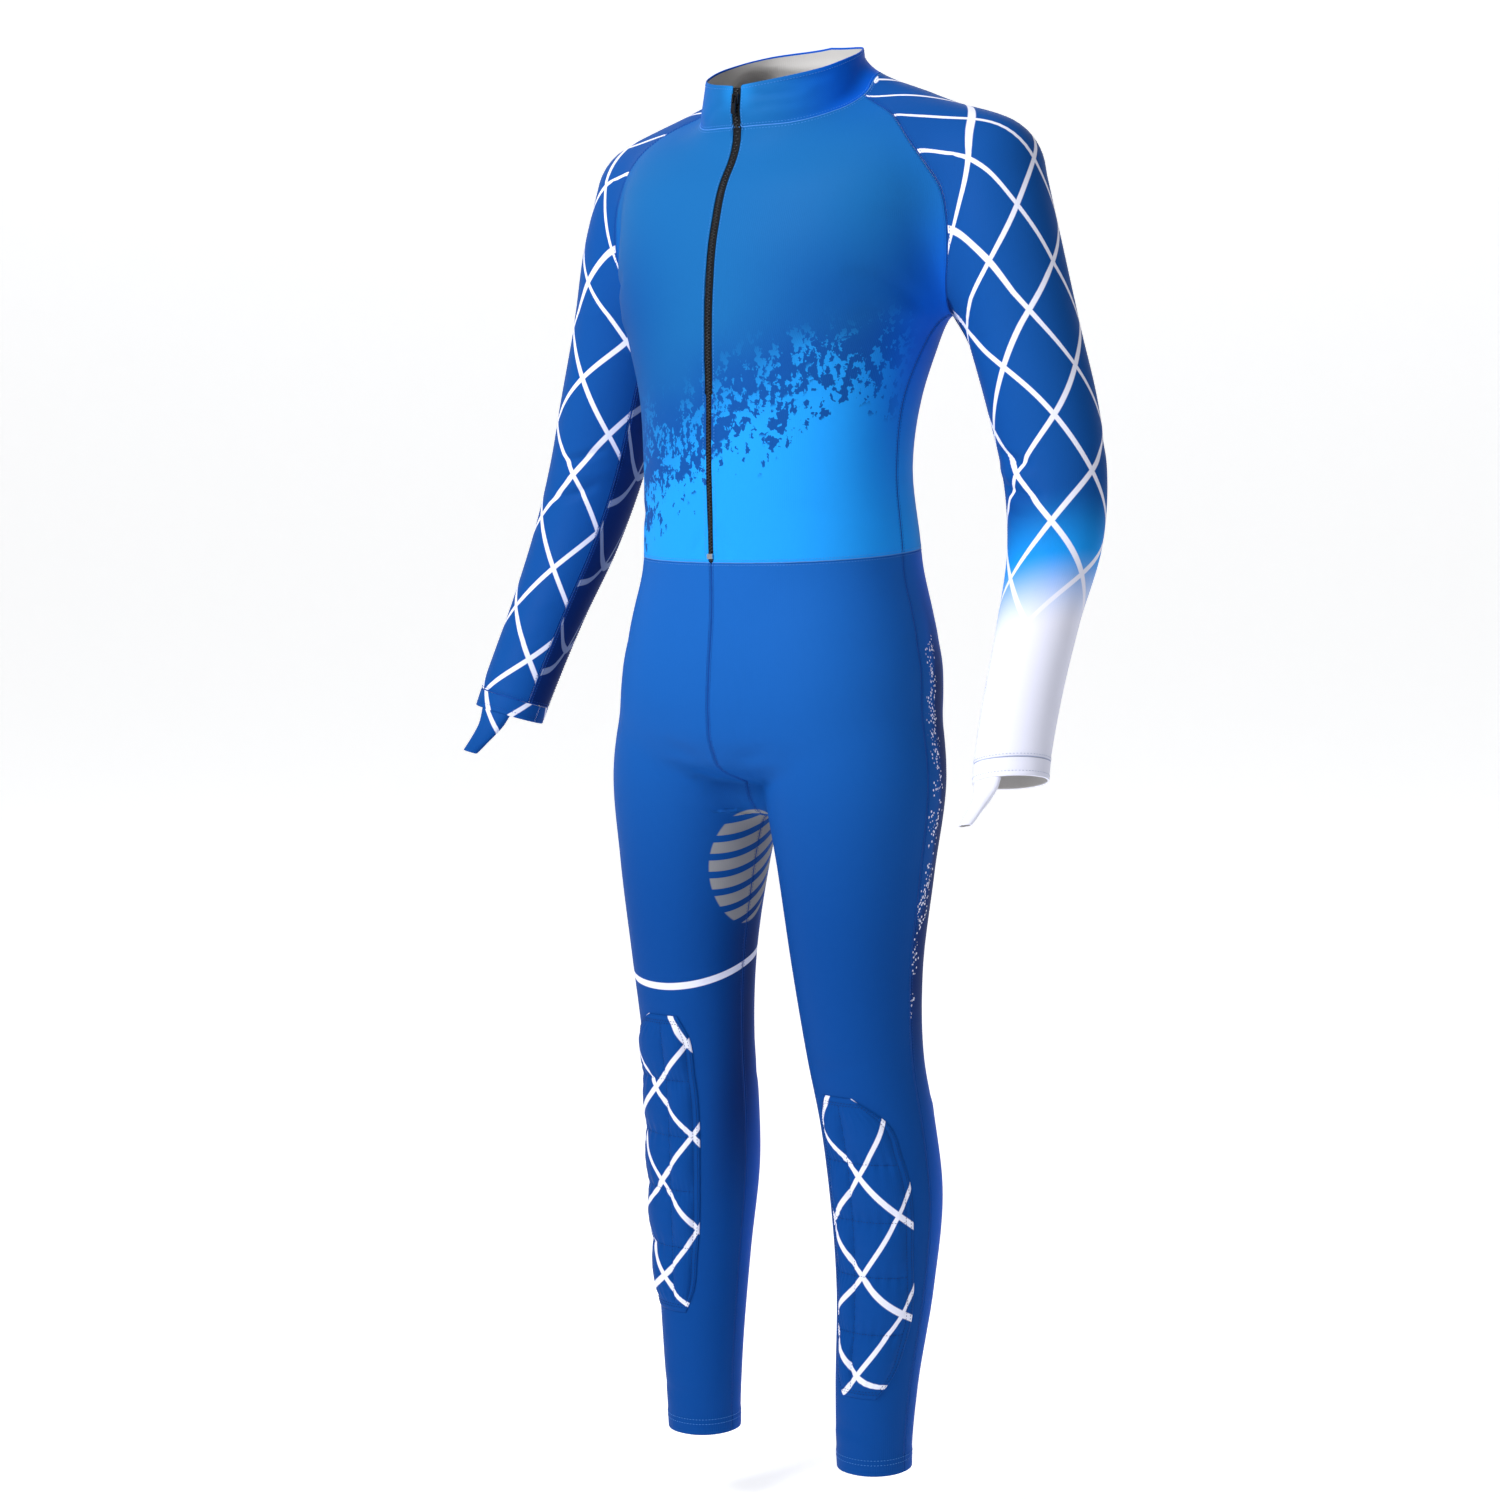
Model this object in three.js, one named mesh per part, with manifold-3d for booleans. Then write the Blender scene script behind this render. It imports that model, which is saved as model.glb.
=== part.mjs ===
// Speed skating suit: a one-piece race suit of stretch cloth, filled out and hollow.
// Sizes are in millimetres. +X is the wearer's left, -Y the front and +Z up.
// Heights in the tables are above the sole of the foot; the finished part is lowered
// so that its origin is where the wearer's neck base holds it.
import * as THREE from 'three';
import { mergeVertices } from 'three/addons/utils/BufferGeometryUtils.js';
import Module from 'manifold-3d';

// Cloth, seams and where the suit is held.
const CLOTH = 1.5;
const SEAM_GAP = 0.3;
const HOLD_HEIGHT = 1480;

// How many steps each panel is drawn with.
const FRONT_COLUMNS = 10;
const BACK_COLUMNS = 10;
const SIDE_ROWS = 6;
const RAGLAN_ROWS = 8;
const SLEEVE_COLUMNS = 14;
const UNDERARM_BACK_COLUMNS = 3;
const HIP_ROWS = 6;
const LEG_ROWS = 14;
const SLEEVE_ROWS = 10;
const COLLAR_ROWS = 2;

// Seams: heights, angles round the body from the front centre, and half the zip's width.
const WAIST_FRONT = 1012;
const WAIST_BACK = 1030;
const SIDE_ANGLE = 91;
const RAGLAN_FRONT_ANGLE = 92;
const RAGLAN_BACK_ANGLE = 128;
const HEM_HEIGHT = 84;
const CROTCH_HEIGHT = 772;
const ZIP_HALF = 4.2;
const ZIP_EDGE = ZIP_HALF + SEAM_GAP / 2;
const ZIP_RAISE = 0.5;
const BODY_CENTRE_Y = -27;
const NECK_CENTRE_Y = -24;

// Colours of the cloth and of the hard pieces.
const MID_BLUE = '#2266b8';
const AZURE = '#2f8fe8';
const DEEP_BLUE = '#1b55a8';
const NAVY = '#132b5e';
const PALE_LILAC = '#dfe4f2';
const COIL_BLACK = '#15171f';
const METAL_GREY = '#b9bec6';

// A cubic curve through a column of values, level past its ends.
function hermite(stations, values) {
  const last = stations.length - 1;
  const step = stations.slice(1).map((s, k) => s - stations[k]);
  const rise = step.map((h, k) => (values[k + 1] - values[k]) / h);
  const tangent = values.map((v, k) => {
    if (k === 0) return rise[0];
    if (k === last) return rise[last - 1];
    return (rise[k - 1] * step[k] + rise[k] * step[k - 1]) / (step[k] + step[k - 1]);
  });
  return (at) => {
    const t = Math.min(Math.max(at, stations[0]), stations[last]);
    let k = 0;
    while (k < last - 1 && t > stations[k + 1]) k += 1;
    const w = (t - stations[k]) / step[k];
    const w2 = w * w;
    const w3 = w2 * w;
    return (2 * w3 - 3 * w2 + 1) * values[k] + (w3 - 2 * w2 + w) * step[k] * tangent[k]
      + (3 * w2 - 2 * w3) * values[k + 1] + (w3 - w2) * step[k] * tangent[k + 1];
  };
}

// One curve for each named column; the first column is what the others run along.
function curves(names, rows) {
  const stations = rows.map((row) => row[0]);
  const made = { start: stations[0], end: stations[stations.length - 1] };
  names.slice(1).forEach((name, k) => {
    made[name] = hermite(stations, rows.map((row) => row[k + 1]));
  });
  return made;
}

const TORSO = curves(['height', 'half_width', 'front', 'back', 'centre_y'], [
  [790, 26, 32, 32, -52],
  [802, 74, 80, 80, -43],
  [825, 118, 108, 108, -36],
  [860, 148, 118, 118, -33],
  [900, 161, 120, 122, -30],
  [960, 149, 118, 117, -27],
  [1031, 145, 116, 108, -30],
  [1110, 141, 113, 102, -36],
  [1180, 149, 117, 107, -32],
  [1230, 165, 122, 113, -28],
  [1275, 182, 125, 117, -24],
  [1340, 190, 124, 114, -16],
  [1400, 194, 112, 96, -4],
  [1436, 192, 88, 66, 8],
  [1458, 182, 60, 44, 16],
  [1474, 150, 42, 34, 20],
  [1488, 112, 32, 28, 20],
  [1502, 74, 24, 22, 20],
  [1518, 36, 14, 14, 18],
]);
const LEG = curves(['height', 'centre_x', 'centre_y', 'half_width', 'front', 'back'], [
  [60, 112, -18, 35, 37, 37],
  [100, 112, -20, 36, 38, 38],
  [165, 114, -19, 39, 42, 42],
  [270, 119, -12, 47, 48, 50],
  [375, 118, -12, 55, 54, 61],
  [440, 114, -20, 56, 54, 60],
  [510, 109, -33, 57, 57, 57],
  [600, 106, -42, 63, 66, 62],
  [700, 104, -42, 76, 79, 74],
  [800, 98, -38, 88, 94, 92],
  [870, 89, -35, 84, 96, 96],
  [930, 84, -34, 74, 88, 88],
]);
const ARM = curves(['station', 'forward', 'outward', 'half_depth', 'half_breadth'], [
  [0, 0, 0, 60, 60],
  [70, -12, 8, 60, 58],
  [150, -32, 16, 56, 54],
  [230, -50, 24, 54, 52],
  [300, -60, 28, 49, 49],
  [370, -56, 26, 44, 45],
  [450, -34, 16, 38, 39],
  [540, -10, 5, 36, 36],
  [590, 0, 0, 35, 35],
  [640, 8, 0, 34, 34],
]);
const NECK = curves(['rise', 'half_width', 'half_depth'], [
  [0, 88, 84],
  [30, 82, 80],
  [60, 77, 76],
  [110, 74, 74],
]);
const SHOULDER = new THREE.Vector3(210, 20, 1391);
const WRIST = new THREE.Vector3(326, -99, 822);
const NECK_BASE = new THREE.Vector3(0, -22, 1462);
const NECK_TOP = new THREE.Vector3(0, -26, 1550);

// How softly limbs run into the body, and how square each section is.
const MELT_NECK = 36;
const MELT_LEG = 34;
const MELT_ARM = 46;
const SQUARE_TORSO = 2.35;
const SQUARE_LEG = 2.1;
const ROUND = 2;

// The arm's own directions: down the arm, outward and forward.
const DOWN_ARM = WRIST.clone().sub(SHOULDER).normalize();
const OUT_ARM = new THREE.Vector3(1, 0, 0);
OUT_ARM.addScaledVector(DOWN_ARM, -OUT_ARM.dot(DOWN_ARM)).normalize();
const FORE_ARM = new THREE.Vector3().crossVectors(DOWN_ARM, OUT_ARM).normalize();
if (FORE_ARM.y > 0) FORE_ARM.negate();
const UP_NECK = NECK_TOP.clone().sub(NECK_BASE).normalize();
const BACK_NECK = new THREE.Vector3().crossVectors(UP_NECK, new THREE.Vector3(1, 0, 0));

// Distance past a rounded oval; over is how far the point lies beyond an open end.
function past(x, y, a, b, square, over) {
  const rho = Math.hypot(x, y) + 1e-9;
  const scale = (Math.abs(x / a) ** square + Math.abs(y / b) ** square) ** (1 / square) + 1e-12;
  return Math.hypot(rho, over) - rho / scale;
}

function torsoField(x, y, z) {
  const dy = y - TORSO.centre_y(z);
  const depth = dy < 0 ? TORSO.front(z) : TORSO.back(z);
  const over = Math.max(z - TORSO.end, 0) + Math.max(TORSO.start - z, 0);
  return past(x, dy, TORSO.half_width(z), depth, SQUARE_TORSO, over);
}

function legField(x, y, z) {
  const dy = y - LEG.centre_y(z);
  const depth = dy < 0 ? LEG.front(z) : LEG.back(z);
  return past(x - LEG.centre_x(z), dy, LEG.half_width(z), depth, SQUARE_LEG, Math.max(z - LEG.end, 0));
}

function armField(x, y, z) {
  const dx = x - SHOULDER.x;
  const dy = y - SHOULDER.y;
  const dz = z - SHOULDER.z;
  const t = dx * DOWN_ARM.x + dy * DOWN_ARM.y + dz * DOWN_ARM.z;
  const f = dx * FORE_ARM.x + dy * FORE_ARM.y + dz * FORE_ARM.z;
  const o = dx * OUT_ARM.x + dy * OUT_ARM.y + dz * OUT_ARM.z;
  return past(f - ARM.forward(t), o - ARM.outward(t), ARM.half_depth(t), ARM.half_breadth(t), ROUND,
    Math.max(-t, 0));
}

function neckField(x, y, z) {
  const dy = y - NECK_BASE.y;
  const dz = z - NECK_BASE.z;
  const rise = dy * UP_NECK.y + dz * UP_NECK.z;
  const back = dy * BACK_NECK.y + dz * BACK_NECK.z;
  return past(x, back, NECK.half_width(rise), NECK.half_depth(rise), ROUND, Math.max(-rise, 0));
}

// The smaller of two distances, rounded off where they are nearly equal.
function melt(a, b, soft) {
  const h = Math.max(soft - Math.abs(a - b), 0) / soft;
  return Math.min(a, b) - h * h * soft / 4;
}

// The body form that the cut cloth takes: below zero inside it.
function form(x, y, z) {
  const trunk = melt(torsoField(x, y, z), neckField(x, y, z), MELT_NECK);
  const legs = melt(melt(trunk, legField(x, y, z), MELT_LEG), legField(-x, y, z), MELT_LEG);
  return melt(melt(legs, armField(x, y, z), MELT_ARM), armField(-x, y, z), MELT_ARM);
}

const PROBE = 0.5;
function slope(p) {
  return new THREE.Vector3(
    form(p.x + PROBE, p.y, p.z) - form(p.x - PROBE, p.y, p.z),
    form(p.x, p.y + PROBE, p.z) - form(p.x, p.y - PROBE, p.z),
    form(p.x, p.y, p.z + PROBE) - form(p.x, p.y, p.z - PROBE),
  ).divideScalar(2 * PROBE);
}

// Moves a rough point along the form's slope until it lies on the form.
const SETTLE_ROUNDS = 14;
const SETTLE_LIMIT = 25;
function settle(rough, keepX = false) {
  const p = rough.clone();
  for (let round = 0; round < SETTLE_ROUNDS; round += 1) {
    const away = form(p.x, p.y, p.z);
    if (Math.abs(away) < 1e-5) break;
    const g = slope(p);
    if (keepX) g.x = 0;
    const size = g.length();
    const move = Math.min(Math.max(away / size, -SETTLE_LIMIT), SETTLE_LIMIT);
    p.addScaledVector(g, -move / size);
  }
  return p;
}

const v3 = (x, y, z) => new THREE.Vector3(x, y, z);
const radians = (degrees) => THREE.MathUtils.degToRad(degrees);
const mix = (a, b, s) => a + (b - a) * s;
const mirrored = (rows) => rows.map((row) => row.map((p) => v3(-p.x, p.y, p.z)));

// Points evenly spread along a smooth line through a few rough ones, laid on the form.
function laidLine(rough, steps, keepX = false) {
  const line = new THREE.CatmullRomCurve3(rough, false, 'centripetal');
  return line.getSpacedPoints(steps).map((p) => settle(p, keepX));
}

// Points on the way from one to another round an upright axis, laid on the form.
function sweep(from, to, axis, steps) {
  const polar = (p) => {
    const [ax, ay] = axis(p.z);
    const angle = Math.atan2(p.x - ax, -(p.y - ay));
    return { angle, reach: Math.hypot(p.x - ax, p.y - ay), z: p.z };
  };
  const a = polar(from);
  const b = polar(to);
  if (b.angle < a.angle) b.angle += 2 * Math.PI;
  return Array.from({ length: steps + 1 }, (_, k) => {
    if (k === 0) return from.clone();
    if (k === steps) return to.clone();
    const s = k / steps;
    const angle = mix(a.angle, b.angle, s);
    const reach = mix(a.reach, b.reach, s);
    const z = mix(a.z, b.z, s);
    const [ax, ay] = axis(z);
    return settle(v3(ax + reach * Math.sin(angle), ay - reach * Math.cos(angle), z));
  });
}

// Fills the patch between four edges, blended round the body's upright axis.
function patch(bottom, top, left, right) {
  const polar = (p) => {
    const angle = Math.atan2(p.x, -(p.y - BODY_CENTRE_Y));
    const reach = Math.hypot(p.x, p.y - BODY_CENTRE_Y);
    return v3(angle < 0 ? angle + 2 * Math.PI : angle, reach, p.z);
  };
  const [low, high, near, far] = [bottom, top, left, right].map((edge) => edge.map(polar));
  const columns = bottom.length - 1;
  const rows = left.length - 1;
  return left.map((leftPoint, j) => bottom.map((bottomPoint, i) => {
    if (i === 0) return left[j].clone();
    if (i === columns) return right[j].clone();
    if (j === 0) return bottom[i].clone();
    if (j === rows) return top[i].clone();
    const u = i / columns;
    const v = j / rows;
    const blend = (key) => mix(low[i][key], high[i][key], v) + mix(near[j][key], far[j][key], u)
      - mix(mix(low[0][key], low[columns][key], u), mix(high[0][key], high[columns][key], u), v);
    const [angle, reach, z] = [blend('x'), blend('y'), blend('z')];
    return settle(v3(reach * Math.sin(angle), BODY_CENTRE_Y - reach * Math.cos(angle), z));
  }));
}

// Seams on the wearer's left; the right-hand ones are their mirror images.
const NECK_SEAM = curves(['angle', 'height'], [
  [0, 1441], [40, 1446], [70, 1460], [96, 1477], [128, 1488], [180, 1494],
]);
const COLLAR_TOP = curves(['angle', 'height'], [
  [0, 1481], [30, 1487], [60, 1497], [90, 1512], [130, 1528], [180, 1536],
]);
const SEAM_REACH = { x: 95, y: 84 };
const COLLAR_REACH = { x: 78, y: 77 };
const WAIST_REACH = { x: 143, y: 115 };

// Rough places in front of the body that zip points are moved back from.
const CHEST_START_Y = -150;
const COLLAR_START_Y = -104;

function neckPoint(heights, reach, angle) {
  const turn = radians(angle);
  const folded = angle > 180 ? 360 - angle : angle;
  return v3(reach.x * Math.sin(turn), NECK_CENTRE_Y - reach.y * Math.cos(turn), heights.height(folded));
}

const RAGLAN_FRONT = [
  [187, 3, 1259], [200, -30, 1282], [209, -43, 1312], [211, -47, 1345], [206, -50, 1376],
  [190, -54, 1401], [170, -53, 1424], [136, -36, 1453],
];
const RAGLAN_BACK = [
  [187, 3, 1259], [197, 28, 1284], [203, 48, 1312], [203, 66, 1345], [196, 76, 1376],
  [180, 78, 1404], [158, 70, 1430], [122, 50, 1460],
];
const CENTRE_FRONT = [
  [0, -146, WAIST_FRONT], [0, -149, 930], [0, -146, 868], [0, -124, 812], [0, -84, 780], [0, -45, 764],
];
const CENTRE_BACK = [
  [0, 80, WAIST_BACK], [0, 90, 960], [0, 92, 890], [0, 72, 825], [0, 18, 780], [0, -45, 764],
];
const points = (rows) => rows.map(([x, y, z]) => v3(x, y, z));

const neckEdge = (angle) => neckPoint(NECK_SEAM, SEAM_REACH, angle);

// The raglan seams: a short stretch by the armpit borders the underarm panel, and the
// rest runs up to the neck beside the sleeve.
const UNDERARM_REACH = { front: 28, back: 75 };
function raglanParts(rough, angle, reach, columns) {
  const line = new THREE.CatmullRomCurve3([...points(rough), neckEdge(angle)], false, 'centripetal');
  const corner = reach / line.getLength();
  const part = (from, to, steps) => Array.from({ length: steps + 1 },
    (_, k) => settle(line.getPointAt(mix(from, to, k / steps))));
  return { under: part(0, corner, columns), rise: part(corner, 1, RAGLAN_ROWS) };
}
const front = raglanParts(RAGLAN_FRONT, RAGLAN_FRONT_ANGLE, UNDERARM_REACH.front, 1);
const rear = raglanParts(RAGLAN_BACK, RAGLAN_BACK_ANGLE, UNDERARM_REACH.back, UNDERARM_BACK_COLUMNS);
const raglanFront = [...front.under, ...front.rise.slice(1)];
const raglanBack = [...rear.under, ...rear.rise.slice(1)];
const neckFrontEnd = raglanFront[raglanFront.length - 1];
const neckBackEnd = raglanBack[raglanBack.length - 1];

// Points of the neck seam from the zip round to the back centre.
const zipAngle = THREE.MathUtils.radToDeg(Math.asin(ZIP_EDGE / SEAM_REACH.x));
const neckFront = Array.from({ length: FRONT_COLUMNS + 1 }, (_, k) => {
  if (k === FRONT_COLUMNS) return neckFrontEnd.clone();
  const edge = neckEdge(mix(zipAngle, RAGLAN_FRONT_ANGLE, k / FRONT_COLUMNS));
  if (k === 0) edge.x = ZIP_EDGE;
  return settle(edge, k === 0);
});
const neckShoulder = Array.from({ length: SLEEVE_COLUMNS + 1 }, (_, k) => {
  if (k === 0) return neckFrontEnd.clone();
  if (k === SLEEVE_COLUMNS) return neckBackEnd.clone();
  return settle(neckEdge(mix(RAGLAN_FRONT_ANGLE, RAGLAN_BACK_ANGLE, k / SLEEVE_COLUMNS)));
});
const neckBack = Array.from({ length: 2 * BACK_COLUMNS + 1 }, (_, k) => {
  if (k === 0) return neckBackEnd.clone();
  if (k === 2 * BACK_COLUMNS) return neckBackEnd.clone().multiply(v3(-1, 1, 1));
  const half = mix(RAGLAN_BACK_ANGLE, 360 - RAGLAN_BACK_ANGLE, k / (2 * BACK_COLUMNS));
  return settle(neckEdge(half));
});

// The waist seam, level at the front and rising towards the back.
function waistPoint(angle, keepX = null) {
  const turn = radians(angle);
  const y = BODY_CENTRE_Y - WAIST_REACH.y * Math.cos(turn);
  const height = mix(WAIST_FRONT, WAIST_BACK, (1 - Math.cos(turn)) / 2);
  const p = v3(WAIST_REACH.x * Math.sin(turn), y, height);
  if (keepX !== null) p.x = keepX;
  return settle(p, keepX !== null);
}
const waistFront = Array.from({ length: FRONT_COLUMNS + 1 }, (_, k) => {
  if (k === 0) return waistPoint(0, 0);
  return waistPoint(SIDE_ANGLE * k / FRONT_COLUMNS);
});
const waistBack = Array.from({ length: BACK_COLUMNS + 1 }, (_, k) => {
  if (k === 0) return waistFront[FRONT_COLUMNS].clone();
  if (k === BACK_COLUMNS) return waistPoint(180, 0);
  return waistPoint(mix(SIDE_ANGLE, 180, k / BACK_COLUMNS));
});

// Side seam from the waist up to the armpit.
const SIDE_SEAM = [[142, -30, 1110], [152, -26, 1185], [172, -10, 1238]];
const sideSeam = laidLine([waistFront[FRONT_COLUMNS], ...points(SIDE_SEAM), raglanFront[0]], SIDE_ROWS);
sideSeam[0] = waistFront[FRONT_COLUMNS].clone();
sideSeam[SIDE_ROWS] = raglanFront[0].clone();

// Zip edge of the front panel, from the waist up to the neck seam.
const torsoRows = SIDE_ROWS + raglanFront.length - 1;
const zipBottom = waistPoint(0, ZIP_EDGE);
const zipEdge = Array.from({ length: torsoRows + 1 }, (_, k) => {
  if (k === 0) return zipBottom.clone();
  if (k === torsoRows) return neckFront[0].clone();
  const z = mix(zipBottom.z, neckFront[0].z, k / torsoRows);
  return settle(v3(ZIP_EDGE, CHEST_START_Y, z), true);
});

const frontRows = patch([zipBottom, ...waistFront.slice(1)], neckFront, zipEdge,
  [...sideSeam, ...raglanFront.slice(1)]);
const waistBackWhole = [...waistBack, ...mirrored([waistBack])[0].reverse().slice(1)];
const backEdge = [...sideSeam, ...raglanBack.slice(1)];
const backRows = patch(waistBackWhole, neckBack, backEdge, mirrored([backEdge])[0]);

// Leg panels run from the waist seam to the hem; the crotch is a plain smooth curve.
const legAxis = (z) => [LEG.centre_x(z), LEG.centre_y(z)];
const legHeight = (row) => mix(CROTCH_HEIGHT, HEM_HEIGHT, row / LEG_ROWS);
function legSeam(side, row) {
  const z = legHeight(row);
  return settle(v3(LEG.centre_x(z) + side * LEG.half_width(z), LEG.centre_y(z), z));
}
const HIP_SEAM = [[150, -27, 960], [166, -30, 900], [176, -34, 850]];
const hipLine = laidLine([waistFront[FRONT_COLUMNS], ...points(HIP_SEAM), legSeam(1, 0)], HIP_ROWS);
const outseam = [];
for (let row = 0; row <= HIP_ROWS + LEG_ROWS; row += 1) {
  if (row === 0) outseam.push(waistFront[FRONT_COLUMNS].clone());
  else outseam.push(row < HIP_ROWS ? hipLine[row] : legSeam(1, row - HIP_ROWS));
}
function innerEdge(rough) {
  const centre = laidLine(points(rough), HIP_ROWS, true);
  const inseam = Array.from({ length: LEG_ROWS }, (_, k) => legSeam(-1, k + 1));
  return [...centre, ...inseam];
}
const innerFront = innerEdge(CENTRE_FRONT);
innerFront[0] = waistFront[0].clone();
const innerBack = innerEdge(CENTRE_BACK);
innerBack[0] = waistBack[BACK_COLUMNS].clone();
innerBack[HIP_ROWS] = innerFront[HIP_ROWS].clone();

const legFrontRows = innerFront.map((inner, row) => (row === 0
  ? waistFront.map((p) => p.clone())
  : sweep(inner, outseam[row], legAxis, FRONT_COLUMNS)));
const legBackRows = innerBack.map((inner, row) => (row === 0
  ? waistBack.map((p) => p.clone())
  : sweep(outseam[row], inner, legAxis, BACK_COLUMNS)));

// Sleeves: the upper rows cross the shoulder from one raglan seam to the other, and the
// lower ones are rings of the arm. Ring angles count from the inner arm round by the front.
const FIRST_RING = 165;
const UNDERARM_ANGLES = { front: 22, back: -48 };
const SLEEVE_END = { left: { seam: 588, edge: 606 }, right: { seam: 552, edge: 570 } };

function armCentre(t) {
  return SHOULDER.clone().addScaledVector(DOWN_ARM, t)
    .addScaledVector(FORE_ARM, ARM.forward(t)).addScaledVector(OUT_ARM, ARM.outward(t));
}
function armPoint(t, angle) {
  const turn = radians(angle);
  return settle(armCentre(t)
    .addScaledVector(OUT_ARM, -ARM.half_breadth(t) * Math.cos(turn))
    .addScaledVector(FORE_ARM, ARM.half_depth(t) * Math.sin(turn)));
}
const outerAngles = Array.from({ length: SLEEVE_COLUMNS + 1 }, (_, k) => mix(UNDERARM_ANGLES.front,
  360 + UNDERARM_ANGLES.back, k / SLEEVE_COLUMNS));
const underAngles = Array.from({ length: UNDERARM_BACK_COLUMNS + 2 }, (_, k) => mix(UNDERARM_ANGLES.back,
  UNDERARM_ANGLES.front, k / (UNDERARM_BACK_COLUMNS + 1)));
const ringStations = (end) => Array.from({ length: SLEEVE_ROWS + 1 },
  (_, k) => mix(FIRST_RING, end, k / SLEEVE_ROWS));

// The crest of the sleeve, from the outer arm over the shoulder to the neck.
const CREST = [
  [304, 8, 1299], [290, 16, 1345], [272, 20, 1392], [248, 20, 1428], [212, 20, 1452], [172, 18, 1468],
  [132, 12, 1482],
];
const SHOULDER_FILL = 1.4;
function shoulderRows() {
  const crest = laidLine([...points(CREST), neckShoulder[SLEEVE_COLUMNS / 2]], RAGLAN_ROWS);
  return front.rise.map((from, j) => {
    if (j === RAGLAN_ROWS) return neckShoulder.map((p) => p.clone());
    const to = rear.rise[j];
    const middle = from.clone().add(to).multiplyScalar(0.5);
    const side = from.clone().sub(middle);
    const top = crest[j].clone().sub(middle);
    const fill = SHOULDER_FILL * (1 - j / RAGLAN_ROWS);
    return Array.from({ length: SLEEVE_COLUMNS + 1 }, (_, k) => {
      if (k === 0) return from.clone();
      if (k === SLEEVE_COLUMNS) return to.clone();
      const turn = Math.PI * k / SLEEVE_COLUMNS;
      return settle(middle.clone()
        .addScaledVector(side, Math.cos(turn) * (1 + fill * Math.sin(turn)))
        .addScaledVector(top, Math.sin(turn)));
    });
  });
}
function sleevePanels(end) {
  const outer = [...shoulderRows().reverse(),
    ...ringStations(end).map((t) => outerAngles.map((angle) => armPoint(t, angle)))];
  const armpit = [...rear.under.slice().reverse(), ...front.under.slice(1)];
  const under = [armpit, ...ringStations(end).map((t) => underAngles.map((angle) => armPoint(t, angle)))];
  return { outer, under };
}

// A closed wall between an inner and an outer grid; a looped grid closes on itself.
function wallGeometry(inner, outer, looped = false) {
  const rows = inner.length;
  const columns = inner[0].length;
  const flat = [...outer.flat(), ...inner.flat()];
  const at = (j, i, side) => side * rows * columns + j * columns + (i % columns);
  const faces = [];
  const quad = (a, b, c, d) => faces.push(a, b, c, a, c, d);
  const span = looped ? columns : columns - 1;
  for (let j = 0; j < rows - 1; j += 1) {
    for (let i = 0; i < span; i += 1) {
      quad(at(j, i, 0), at(j, i + 1, 0), at(j + 1, i + 1, 0), at(j + 1, i, 0));
      quad(at(j, i, 1), at(j + 1, i, 1), at(j + 1, i + 1, 1), at(j, i + 1, 1));
    }
  }
  for (let i = 0; i < span; i += 1) {
    quad(at(0, i, 0), at(0, i, 1), at(0, i + 1, 1), at(0, i + 1, 0));
    quad(at(rows - 1, i, 0), at(rows - 1, i + 1, 0), at(rows - 1, i + 1, 1), at(rows - 1, i, 1));
  }
  if (!looped) {
    for (let j = 0; j < rows - 1; j += 1) {
      quad(at(j, 0, 0), at(j + 1, 0, 0), at(j + 1, 0, 1), at(j, 0, 1));
      quad(at(j, columns - 1, 0), at(j, columns - 1, 1), at(j + 1, columns - 1, 1),
        at(j + 1, columns - 1, 0));
    }
  }
  return facingOut(flat, faces);
}

// Makes a geometry of points and faces, turned so that its faces point outwards.
function facingOut(flat, faces) {
  let volume = 0;
  const cross = new THREE.Vector3();
  for (let k = 0; k < faces.length; k += 3) {
    cross.crossVectors(flat[faces[k + 1]], flat[faces[k + 2]]);
    volume += flat[faces[k]].dot(cross);
  }
  if (volume < 0) {
    for (let k = 0; k < faces.length; k += 3) {
      [faces[k + 1], faces[k + 2]] = [faces[k + 2], faces[k + 1]];
    }
  }
  const geometry = new THREE.BufferGeometry();
  geometry.setAttribute('position', new THREE.Float32BufferAttribute(
    flat.flatMap((p) => [p.x, p.y, p.z - HOLD_HEIGHT]), 3));
  geometry.setIndex(faces);
  geometry.computeVertexNormals();
  return geometry;
}

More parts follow.
